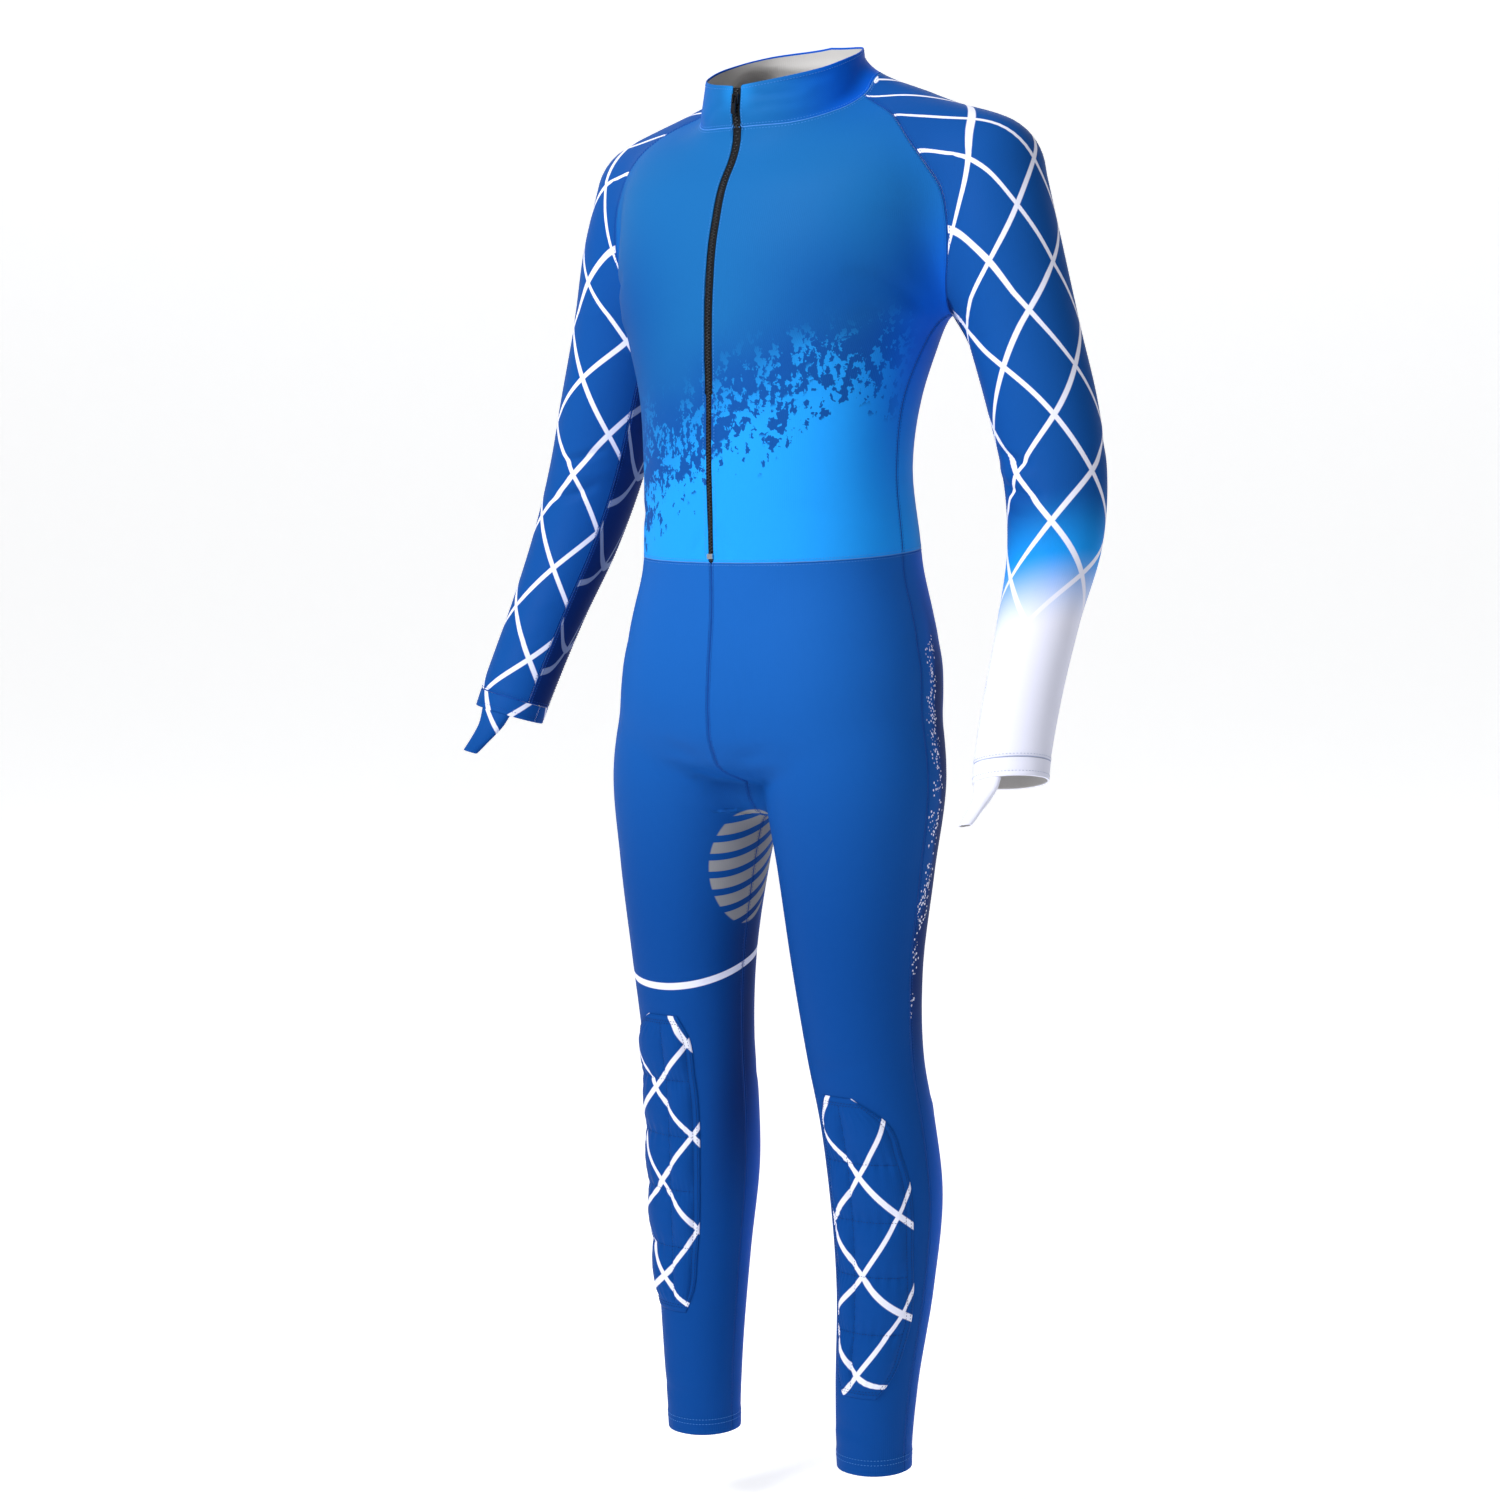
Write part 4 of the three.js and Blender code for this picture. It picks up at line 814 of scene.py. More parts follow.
def lozenges(tree, uv, colour_below, line_colour, settings, turn=0.0):
    """A plain lattice of crossing lines: the distance to the nearest line of two slanted families."""
    parts = node(tree, "ShaderNodeSeparateXYZ", {0: uv})
    sway = node(tree, "ShaderNodeTexNoise", {"Vector": uv, "Scale": 7.0, "Detail": 0.0})
    drift = sums(tree, "MULTIPLY_ADD", sway.outputs[0], 0.30, -0.15)
    wide = sums(tree, "DIVIDE", parts.outputs[0], settings.lozenge_width)
    tall = sums(tree, "DIVIDE", parts.outputs[1], settings.lozenge_height)
    tall = sums(tree, "ADD", tall, turn)
    masks = []
    spacing = (settings.lozenge_width * settings.lozenge_height
               / math.hypot(settings.lozenge_width, settings.lozenge_height))
    for operation in ("ADD", "SUBTRACT"):
        place = sums(tree, "ADD", sums(tree, operation, wide, tall), drift)
        gap = sums(tree, "MULTIPLY", sums(tree, "PINGPONG", place, 0.5), spacing)
        half = settings.line_width / 2
        masks.append(band(tree, gap, half * 0.8, half * 1.15, rising=False))
    lines = sums(tree, "MAXIMUM", masks[0], masks[1])
    return blend(tree, lines, colour_below, line_colour)


def cloth_material(name, colour, paint=None, roughness=0.5):
    """Printed stretch knit: deep dye colour under a low satin gloss that spreads along the body."""
    made, tree, surface = new_material(name, colour, roughness, Specular_IOR_Level=0.02)
    uv = node(tree, "ShaderNodeUVMap", uv_map="cloth").outputs[0]
    if paint:
        tree.links.new(paint(tree, uv), surface.inputs["Base Color"])
    knit_bump(tree, surface, uv)
    return made


REVERSE = "#c9c7c6"


def grained_material(name, colour, roughness, fineness, strength, **shader):
    """A plain finish over a fine grain: a noise bump a tenth of a millimetre high."""
    made, tree, surface = new_material(name, colour, roughness, **shader)
    place = node(tree, "ShaderNodeTexCoord").outputs["Object"]
    grain = node(tree, "ShaderNodeTexNoise", {"Vector": place, "Scale": fineness})
    bump = node(tree, "ShaderNodeBump", {"Strength": strength, "Distance": 0.0001,
                                         "Height": grain.outputs[0]})
    tree.links.new(bump.outputs[0], surface.inputs["Normal"])
    return made


def reverse_material():
    """The unprinted inside of the knit: matt, warm light grey."""
    known = bpy.data.materials.get("knit_reverse")
    if known:
        return known
    made, tree, surface = new_material("knit_reverse", linear(REVERSE), 0.8)
    uv = node(tree, "ShaderNodeUVMap", uv_map="cloth").outputs[0]
    knit_bump(tree, surface, uv, 0.4)
    return made


def dress(made, material, nodes):
    """Gives a piece its materials, body, material slot and the solids it stands for."""
    made.data.materials.append(material)
    made.data.materials.append(reverse_material())
    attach(made, "suit")
    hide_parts(*nodes)


class SuitSettings(bpy.types.PropertyGroup):
    """Colours and sizes of the suit that a user would change."""

    chest_blue: bpy.props.FloatVectorProperty(
        name="Chest blue", description="Colour of the chest above the dissolve", subtype="COLOR", size=4,
        default=linear("#19609f"))
    azure: bpy.props.FloatVectorProperty(
        name="Azure", description="Bright colour of the waist below the dissolve", subtype="COLOR", size=4,
        default=linear("#2093ea"))
    deep_blue: bpy.props.FloatVectorProperty(
        name="Deep blue", description="Colour at the sides and back", subtype="COLOR", size=4,
        default=linear("#0b57c6"))
    leg_blue: bpy.props.FloatVectorProperty(
        name="Leg blue", description="Colour of the hips and thighs", subtype="COLOR", size=4,
        default=linear("#1a5cad"))
    sleeve_blue: bpy.props.FloatVectorProperty(
        name="Sleeve blue", description="Colour of the sleeves", subtype="COLOR", size=4,
        default=linear("#134c96"))
    # Shin blue is also where the painted shade that darkens each leg down the thigh ends.
    shin_blue: bpy.props.FloatVectorProperty(
        name="Shin blue", description="Colour of the lower legs and the shin pads", subtype="COLOR", size=4,
        default=linear("#0d448e"))
    # Navy also serves as the painted shade on the inner side of each knee.
    navy: bpy.props.FloatVectorProperty(
        name="Navy", description="Colour of the underarm panels and the backs of the legs",
        subtype="COLOR", size=4, default=linear("#0e2a66"))
    pale: bpy.props.FloatVectorProperty(
        name="Pale", description="Colour of the printed lines and the left forearm", subtype="COLOR",
        size=4, default=linear("#e4e6f8"))
    lozenge_width: bpy.props.FloatProperty(
        name="Lozenge width", description="Width of a lozenge of the printed lattice", default=0.076,
        unit="LENGTH")
    lozenge_height: bpy.props.FloatProperty(
        name="Lozenge height", description="Height of a lozenge of the printed lattice", default=0.104,
        unit="LENGTH")
    line_width: bpy.props.FloatProperty(
        name="Line width", description="Width of the printed lines", default=0.0052, unit="LENGTH")
    stitch_pitch: bpy.props.FloatProperty(
        name="Stitch pitch", description="Distance from one stitch to the next", default=0.0032,
        unit="LENGTH")
    tooth_pitch: bpy.props.FloatProperty(
        name="Tooth pitch", description="Distance from one zip tooth to the next on the same side",
        default=0.0018, unit="LENGTH")


# Flecks in each metre; heights of the dissolve's two ends in the middle, and their rise to the left.
FLECK_FINENESS = (105.0, 230.0)
FLECK_LOW, FLECK_SLANT_LOW = -0.425, 0.66
FLECK_HIGH, FLECK_SLANT_HIGH = -0.275, 0.36


def chest_paint(settings):
    """Mid blue above, azure below and deep blue at the sides; between them blue flecks thin out
    downwards: each small cell is blue when its own random number is under a share that falls
    with the distance below a slanting line."""
    def paint(tree, uv):
        place = node(tree, "ShaderNodeTexCoord").outputs["Object"]
        axes = node(tree, "ShaderNodeSeparateXYZ", {0: place})
        wander = node(tree, "ShaderNodeTexNoise", {"Vector": place, "Scale": 9.0, "Detail": 2.0})
        height = sums(tree, "MULTIPLY_ADD", wander.outputs[0], 0.08,
                      sums(tree, "SUBTRACT", axes.outputs[2], 0.04))
        low = sums(tree, "MULTIPLY_ADD", axes.outputs[0], FLECK_SLANT_LOW, FLECK_LOW)
        high = sums(tree, "MULTIPLY_ADD", axes.outputs[0], FLECK_SLANT_HIGH, FLECK_HIGH)
        height = sums(tree, "DIVIDE", sums(tree, "SUBTRACT", height, low),
                      sums(tree, "SUBTRACT", high, low))
        share = band(tree, height, -0.08, 1.15)
        flecks = sums(tree, "MAXIMUM", *(crumbs(tree, place, share, fine) for fine in FLECK_FINENESS))
        fade = band(tree, height, 0.70, 1.25)
        ground = blend(tree, band(tree, height, 0.30, 1.15), settings.azure, settings.chest_blue)
        tint = blend(tree, fade, settings.sleeve_blue, settings.chest_blue)
        colour = blend(tree, sums(tree, "MAXIMUM", flecks, fade), ground, tint)
        below = band(tree, axes.outputs[2], -0.23, -0.10, rising=False)
        away = sums(tree, "ABSOLUTE", axes.outputs[0], 0.0)
        aside = sums(tree, "MULTIPLY", band(tree, away, 0.01, 0.15),
                     sums(tree, "MULTIPLY", fade, sums(tree, "MULTIPLY", below, 0.75)))
        colour = blend(tree, aside, colour, settings.shin_blue)
        flank = sums(tree, "MULTIPLY", band(tree, axes.outputs[1], -0.11, -0.02),
                     sums(tree, "MULTIPLY_ADD", below, 0.8, 0.2))
        return blend(tree, flank, colour, side_blue(tree, settings, axes))
    return paint


def side_blue(tree, settings, axes):
    """Colour of the flanks: halfway to azure at the waist and deep blue from the ribs up."""
    bright = blend(tree, 0.05, settings.azure, settings.deep_blue)
    return blend(tree, band(tree, axes.outputs[2], -0.46, -0.24), bright, settings.deep_blue)


def crumbs(tree, place, share, fineness):
    """Angular flecks: small cells, upright and with ragged edges, each shown if its own random
    number is under the share."""
    ragged = node(tree, "ShaderNodeTexNoise", {"Vector": place, "Scale": fineness * 1.7,
                                               "Detail": 1.0})
    size = 1.1 / fineness
    shake = node(tree, "ShaderNodeVectorMath", {0: ragged.outputs["Color"], 1: (size, size, size * 1.5)},
                 operation="MULTIPLY")
    moved = node(tree, "ShaderNodeVectorMath", {0: place, 1: shake.outputs[0]}, operation="ADD")
    upright = node(tree, "ShaderNodeMapping", {"Vector": moved.outputs[0], "Scale": (1.0, 1.0, 0.7)})
    cells = node(tree, "ShaderNodeTexVoronoi", {"Vector": upright.outputs[0], "Scale": fineness,
                                                "Randomness": 1.0}, distance="MANHATTAN")
    chance = node(tree, "ShaderNodeSeparateColor", {0: cells.outputs["Color"]}).outputs[0]
    least = sums(tree, "MULTIPLY_ADD", share, 0.64, -0.015)
    return band(tree, sums(tree, "SUBTRACT", least, chance), -0.012, 0.012)


def back_paint(settings):
    """The flank's colour at the sides, and a darker blue across the back."""
    def paint(tree, uv):
        place = node(tree, "ShaderNodeTexCoord").outputs["Object"]
        axes = node(tree, "ShaderNodeSeparateXYZ", {0: place})
        return blend(tree, band(tree, axes.outputs[1], -0.005, 0.06), side_blue(tree, settings, axes),
                     settings.shin_blue)
    return paint


class SUIT_OT_torso(bpy.types.Operator):
    """Builds the two chest panels and the back panel"""

    bl_idname = "skating_suit.torso"
    bl_label = "Build Torso"

    def execute(self, context):
        settings = context.scene.skating_suit
        chest = cloth_material("printed_knit_chest", settings.chest_blue, chest_paint(settings))
        left = front_panel()
        for side, sign in SIDES.items():
            made = cloth_wall(f"chest_{side}", sided(left, sign), EDGE_LINES, creases="front")
            dress(made, chest, [f"front_{side}"])
        made = cloth_wall("back_cloth", back_panel(), EDGE_LINES, creases="back")
        dress(made, cloth_material("printed_knit_back", settings.deep_blue, back_paint(settings)),
              ["back"])
        return {"FINISHED"}


# Places on the legs, in metres from where the suit is held; turns are round the leg from the front.
LEG_AXIS_X, LEG_AXIS_Y = 0.104, -0.042
SPECK_FINENESS = 310.0
OVAL_TURN, OVAL_HALF_TURN = math.radians(-86), math.radians(38)
OVAL_Z, OVAL_HALF_HEIGHT, OVAL_GREY = -0.780, 0.063, "#8f9094"
STRIPE_PITCH, STRIPE_LEVEL_TURN, STRIPE_RISE = 0.0188, math.radians(-52), 0.024
BAND_LOW_Z, BAND_RISE, BAND_WIDTH = -0.909, 0.021, 0.0075


def leg_paint(settings, is_back):
    """Leg blue that deepens down the thigh in painted shade; navy painted shade on the inner side of each
    knee; a striped oval on each inner thigh; a curved band above the right knee; and, behind the side
    seam, navy that begins in a trail of pale specks."""
    def paint(tree, uv):
        place = node(tree, "ShaderNodeTexCoord").outputs["Object"]
        x, y, z = node(tree, "ShaderNodeSeparateXYZ", {0: place}).outputs
        aside = sums(tree, "SUBTRACT", sums(tree, "ABSOLUTE", x, 0.0), LEG_AXIS_X)
        turn = sums(tree, "ARCTAN2", aside, sums(tree, "SUBTRACT", LEG_AXIS_Y, y))
        # Painted shade: the leg blue darkens to shin blue from the hips down to the knee, as less light
        # from above reaches the lower leg.
        ground = blend(tree, band(tree, z, -0.88, -0.48), settings.shin_blue, settings.leg_blue)
        # Painted shade: navy over the inner side of each leg round the knee, where the other leg shades it.
        inner = sums(tree, "MULTIPLY", band(tree, turn, -1.9, -0.75, rising=False),
                     band(tree, turn, -3.1, -2.4))
        knee = sums(tree, "MULTIPLY", band(tree, z, -1.20, -1.02),
                    band(tree, z, -0.87, -0.78, rising=False))
        ground = blend(tree, sums(tree, "MULTIPLY", inner, sums(tree, "MULTIPLY", knee, 0.85)), ground,
                       settings.navy)
        if is_back:
            ground = speck_trail(tree, settings, place, ground, y, z, aside)
        across = sums(tree, "DIVIDE", sums(tree, "SUBTRACT", turn, OVAL_TURN), OVAL_HALF_TURN)
        up = sums(tree, "DIVIDE", sums(tree, "SUBTRACT", z, OVAL_Z), OVAL_HALF_HEIGHT)
        reach = sums(tree, "MULTIPLY_ADD", up, up, sums(tree, "MULTIPLY", across, across))
        oval = band(tree, reach, 0.965, 1.035, rising=False)
        bend = sums(tree, "MAXIMUM", sums(tree, "SUBTRACT", STRIPE_LEVEL_TURN, turn), 0.0)
        curl = sums(tree, "MULTIPLY_ADD", sums(tree, "MULTIPLY", bend, bend), -STRIPE_RISE, z)
        stripe = sums(tree, "PINGPONG", sums(tree, "DIVIDE", curl, STRIPE_PITCH), 0.5)
        bars = band(tree, stripe, 0.18, 0.20)
        colour = blend(tree, sums(tree, "MULTIPLY", oval, bars), ground, linear(OVAL_GREY))
        lift = sums(tree, "MULTIPLY_ADD", sums(tree, "COSINE", turn, 0.0), -BAND_RISE,
                    BAND_LOW_Z + BAND_RISE)
        gap = sums(tree, "ABSOLUTE", sums(tree, "SUBTRACT", z, lift), 0.0)
        line = band(tree, gap, BAND_WIDTH / 2 - 0.0003, BAND_WIDTH / 2 + 0.0003, rising=False)
        line = sums(tree, "MULTIPLY", line, band(tree, x, -0.001, 0.0, rising=False))
        return blend(tree, line, colour, settings.pale)
    return paint


def speck_trail(tree, settings, place, ground, y, z, aside):
    """Navy behind a wavering upright line on the outer thigh, with pale specks thrown along it."""
    wander = node(tree, "ShaderNodeTexNoise", {"Vector": place, "Scale": 14.0, "Detail": 3.0})
    depth = sums(tree, "MULTIPLY_ADD", wander.outputs[0], -0.036, sums(tree, "ADD", y, 0.018))
    line = sums(tree, "MULTIPLY_ADD", band(tree, z, -0.93, -0.60), 0.034, -0.042)
    past_line = sums(tree, "SUBTRACT", depth, line)
    cells = node(tree, "ShaderNodeTexVoronoi", {"Vector": place, "Scale": SPECK_FINENESS})
    chance = node(tree, "ShaderNodeSeparateColor", {0: cells.outputs["Color"]}).outputs[0]
    dots = band(tree, cells.outputs["Distance"], 0.34, 0.44, rising=False)
    clump = node(tree, "ShaderNodeTexNoise", {"Vector": place, "Scale": 45.0, "Detail": 2.0})
    near = band(tree, sums(tree, "ABSOLUTE", past_line, 0.0), 0.0, 0.015, rising=False)
    tall = sums(tree, "MULTIPLY", band(tree, z, -0.945, -0.90), band(tree, z, -0.56, -0.53, rising=False))
    thick = sums(tree, "MULTIPLY", sums(tree, "MULTIPLY", near, tall),
                 band(tree, clump.outputs[0], 0.30, 0.62))
    least = sums(tree, "MULTIPLY_ADD", thick, 1.1, -0.025)
    shown = band(tree, sums(tree, "SUBTRACT", least, chance), -0.02, 0.02)
    specks = sums(tree, "MULTIPLY", dots, shown)
    outer = band(tree, aside, 0.0, 0.02)
    tall_navy = sums(tree, "MULTIPLY", band(tree, z, -1.02, -0.88),
                     band(tree, z, -0.60, -0.48, rising=False))
    strip = sums(tree, "MULTIPLY", band(tree, past_line, -0.006, 0.010),
                 band(tree, past_line, 0.022, 0.060, rising=False))
    navy = sums(tree, "MULTIPLY", sums(tree, "MULTIPLY", strip, outer), tall_navy)
    colour = blend(tree, navy, blend(tree, band(tree, y, -0.03, 0.03), ground, settings.deep_blue),
                   settings.navy)
    return blend(tree, sums(tree, "MULTIPLY", specks, outer), colour, settings.pale)


HEM_DEPTH, HEM_LAYER = 20, 0.5


class SUIT_OT_legs(bpy.types.Operator):
    """Builds the fronts and backs of both legs, down to their folded hems"""

    bl_idname = "skating_suit.legs"
    bl_label = "Build Legs"

    def execute(self, context):
        settings = context.scene.skating_suit
        fronts = cloth_material("printed_knit_leg_front", settings.leg_blue, leg_paint(settings, False))
        backs = cloth_material("printed_knit_leg_back", settings.leg_blue, leg_paint(settings, True))
        for name, grid, material in zip(("leg_front", "leg_back"), leg_panels(), (fronts, backs)):
            hem = HEM_LAYER * np.clip((HEM_HEIGHT + HEM_DEPTH - grid[..., 2]) / 2 + 0.5, 0, 1)
            for side, sign in SIDES.items():
                made = cloth_wall(f"{name}_cloth_{side}", sided(grid, sign), EDGE_LINES, creases=name,
                                  extra=hem)
                dress(made, material, [f"{name}_{side}"])
        return {"FINISHED"}


# The fade into the pale forearm: metres down the sleeve, rise across it, and its bright middle.
FADE_TOP, FADE_SLANT, FADE_BLUE = 0.55, 0.15, "#1b8fe6"
UNDERARM_LINE = "#7e8cae"
# Share of a lozenge's height by which each lattice is moved along the cloth.
LATTICE_UNDERARM, LATTICE_CUFF, LATTICE_PAD = 0.3, 0.165, 0.2


def left_sleeve_paint(settings):
    """Blue with the lattice down to the elbow, then through azure into a pale forearm."""
    def paint(tree, uv):
        u, v, _ = node(tree, "ShaderNodeSeparateXYZ", {0: uv}).outputs
        low = sums(tree, "MULTIPLY_ADD", u, FADE_SLANT, v)
        blue = blend(tree, band(tree, low, FADE_TOP - 0.02, FADE_TOP + 0.06), settings.sleeve_blue,
                     linear(FADE_BLUE))
        pale = blend(tree, band(tree, low, FADE_TOP + 0.045, FADE_TOP + 0.13), blue, settings.pale)
        return lozenges(tree, uv, pale, settings.pale, settings)
    return paint


def lattice_paint(ground, settings, turn=0.0, lines=None):
    """The lattice on one ground colour."""
    def paint(tree, uv):
        return lozenges(tree, uv, ground, lines or settings.pale, settings, turn)
    return paint


class SUIT_OT_sleeves(bpy.types.Operator):
    """Builds the raglan sleeves and the narrow underarm panels"""

    bl_idname = "skating_suit.sleeves"
    bl_label = "Build Sleeves"

    def execute(self, context):
        settings = context.scene.skating_suit
        under_cloth = cloth_material("printed_knit_underarm", settings.navy,
                                     lattice_paint(settings.navy, settings, LATTICE_UNDERARM,
                                                   linear(UNDERARM_LINE)))
        paints = {"left": left_sleeve_paint(settings),
                  "right": lattice_paint(settings.sleeve_blue, settings)}
        for side, sign in SIDES.items():
            outer, under = (sided(grid, sign) for grid in sleeve_panels(SLEEVE_END[side][0]))
            sleeve = cloth_material(f"printed_knit_sleeve_{side}", settings.sleeve_blue, paints[side])
            made = cloth_wall(f"sleeve_cloth_{side}", outer, EDGE_LINES, creases=f"sleeve_{side}",
                              anchor=len(RAGLAN_UP))
            dress(made, sleeve, [f"sleeve_{side}"])
            made = cloth_wall(f"underarm_cloth_{side}", under, EDGE_LINES, creases="underarm")
            dress(made, under_cloth, [f"underarm_{side}"])
        return {"FINISHED"}


THUMB_RING, THUMB_INSET = 75, 7.5
# Columns: drop below the cuff, forward, inward, half width, half depth.
THUMB = np.array([
    [SEAM_GAP, 0, 0, 17, 7.5], [9, 2.5, 1, 15, 7.5], [22, 10, 3, 12, 7], [36, 21, 6, 9.5, 6],
    [47, 31, 8, 8, 5.5],
])
CUFF_DOWN, CUFF_ROUND = shares(8, 0.06), 120
THUMB_DOWN, THUMB_ROUND = 22, 40


def thumb_grid(edge, shrink):
    """Rings of the thumb stall: an oval whose size and place follow the table down its drop."""
    drop = mix(THUMB[0, 0] + 1.0, THUMB[-1, 0], np.linspace(0, 1, THUMB_DOWN))
    forward, inward, wide, deep = (along(THUMB, c, drop)[:, None, None] for c in (1, 2, 3, 4))
    turn = math.radians(THUMB_RING)
    toward = -OUT_ARM * math.cos(turn) + FORE_ARM * math.sin(turn)
    across = np.cross(toward, DOWN_ARM)
    centre = (SHOULDER + DOWN_ARM * edge + FORE_ARM * along(ARM, 1, edge)
              + OUT_ARM * along(ARM, 2, edge))
    base = centre + toward * (along(ARM, 4, edge) + CUFF_CLOTH - THUMB_INSET)
    angle = (2 * np.pi * np.arange(THUMB_ROUND) / THUMB_ROUND)[None, :, None]
    wrinkle = 1 + 0.03 * np.sin(3 * angle + drop[:, None, None] / 5)
    return (base + DOWN_ARM * drop[:, None, None] + FORE_ARM * forward - OUT_ARM * inward
            + across * (wide * wrinkle - shrink) * np.cos(angle)
            + toward * (deep * wrinkle - shrink) * np.sin(angle))


class SUIT_OT_cuffs(bpy.types.Operator):
    """Builds the cuff bands and the thumb stalls below them"""

    bl_idname = "skating_suit.cuffs"
    bl_label = "Build Cuffs"

    def execute(self, context):
        settings = context.scene.skating_suit
        cloths = {
            "left": cloth_material("plain_knit_cuff_left", settings.pale),
            "right": cloth_material("printed_knit_cuff_right", settings.sleeve_blue,
                                    lattice_paint(settings.sleeve_blue, settings, LATTICE_CUFF)),
        }
        for side, sign in SIDES.items():
            seam, edge = SLEEVE_END[side]
            angles = 360 * np.arange(CUFF_ROUND) / CUFF_ROUND
            grid = sided(arm_ring(mix(seam, edge, CUFF_DOWN), angles), sign)
            made = cloth_wall(f"cuff_cloth_{side}", grid, ("bottom",), CUFF_CLOTH, True)
            dress(made, cloths[side], [f"cuff_{side}"])
            outer, inner = (sided(thumb_grid(edge, shrink), sign) for shrink in (0, CLOTH))
            uv = cloth_uv(outer, True)
            made = wall(f"thumb_stall_{side}", outer, inner, outer, uv, looped=True)
            note_cut(made, uv, uv[:, -1, 0].mean() * np.ptp(uv[..., 1]))
            dress(made, cloths[side], [f"thumb_{side}"])
        return {"FINISHED"}


# Rows of the inner face, counted from the rim, that show the turned-in outer side.
COLLAR_FOLD = 2


def collar_grid():
    """Collar rows from the neck seam up to the rim, all round from one side of the zip to the other."""
    start = zip_line(ZIP_EDGE, np.array([NECK_SEAM[0, 1]]))[0]
    front = neck_seam(COLLAR_FRONT, ZIP_ANGLE, RAGLAN_FRONT_ANGLE, start, NECK_FRONT_END)
    shoulder = neck_seam(COLLAR_SHOULDER, RAGLAN_FRONT_ANGLE, RAGLAN_BACK_ANGLE, NECK_FRONT_END,
                         NECK_BACK_END)
    back = neck_seam(COLLAR_BACK, RAGLAN_BACK_ANGLE, 180, NECK_BACK_END)
    half = np.vstack([front, shoulder[1:], back[1:]])
    angle = np.degrees(np.arctan2(half[:, 0], NECK_CENTRE_Y - half[:, 1]))
    top = neck_ring(COLLAR_TOP, COLLAR_REACH, np.abs(angle))
    top[0, 0] = ZIP_EDGE
    top[-1, 0] = 0
    top = settle(top)
    top[0] = zip_line(ZIP_EDGE, np.array([COLLAR_TOP[0, 1]]))[0]
    grid = settle(mix(half[None], top[None], COLLAR_UP[:, None, None]))
    grid[0], grid[-1] = half, top
    grid[:, 0] = zip_line(ZIP_EDGE, grid[:, 0, 2])
    return np.concatenate([grid, sided(grid[:, ::-1][:, 1:], -1)], axis=1)


class SUIT_OT_collar(bpy.types.Operator):
    """Builds the stand collar, whose rim is turned in and sewn down"""

    bl_idname = "skating_suit.collar"
    bl_label = "Build Collar"

    def execute(self, context):
        settings = context.scene.skating_suit

        def paint(tree, uv):
            """Deep blue at the back, chest blue in front and a painted highlight of azure beside the zip.
            """
            place = node(tree, "ShaderNodeTexCoord").outputs["Object"]
            axes = node(tree, "ShaderNodeSeparateXYZ", {0: place})
            side = sums(tree, "ABSOLUTE", axes.outputs[0], 0.0)
            # Painted highlight: azure laid over the collar's front beside the top of the zip.
            zip_highlight = sums(tree, "MULTIPLY", band(tree, side, 0.006, 0.026, rising=False),
                        band(tree, axes.outputs[2], -0.03, 0.0))
            zip_highlight = sums(tree, "MULTIPLY", zip_highlight, band(tree, axes.outputs[1], -0.07, -0.05, rising=False))
            ground = blend(tree, band(tree, axes.outputs[1], -0.11, -0.04), settings.chest_blue,
                           settings.deep_blue)
            return blend(tree, sums(tree, "MULTIPLY", zip_highlight, 0.35), ground, settings.azure)

        grid = collar_grid()
        made = cloth_wall("collar_cloth", grid, ("bottom", "left", "right"), creases="collar",
                          fold=COLLAR_FOLD)
        cloth = cloth_material("printed_knit_collar", settings.deep_blue, paint)
        dress(made, cloth, ["collar"])
        return {"FINISHED"}


PAD_REST, PAD_LIFT = CLOTH + 0.15, CLOTH + 1.15
PAD_EDGE, PAD_BORDER, PAD_GROOVE, PAD_SWELL = 0.5, 0.9, 1.5, 5.4
PAD_BORDER_DOWN, PAD_BORDER_IN, PAD_BORDER_OUT = 0.028, 0.20, 0.13
PAD_CELLS = 5
PAD_SPAN = {"left": (478, 166), "right": (540, 216)}
# Columns: share down the pad, half angle on the inner side, half angle on the outer side.
PAD_WIDTH = np.array([
    [0, 20, 16], [0.06, 29, 42], [0.2, 33, 58], [0.5, 34, 66], [0.8, 32, 70], [0.94, 26, 54],
    [1, 16, 36],
])
PAD_DOWN, PAD_ACROSS_IN, PAD_ACROSS_OUT = 120, 24, 36


def bulge(part):
    """Height of a quilted cell from its edge at 0 or 1 to its crown at a half."""
    return np.sin(np.pi * np.clip(part, 0, 1)) ** 0.72


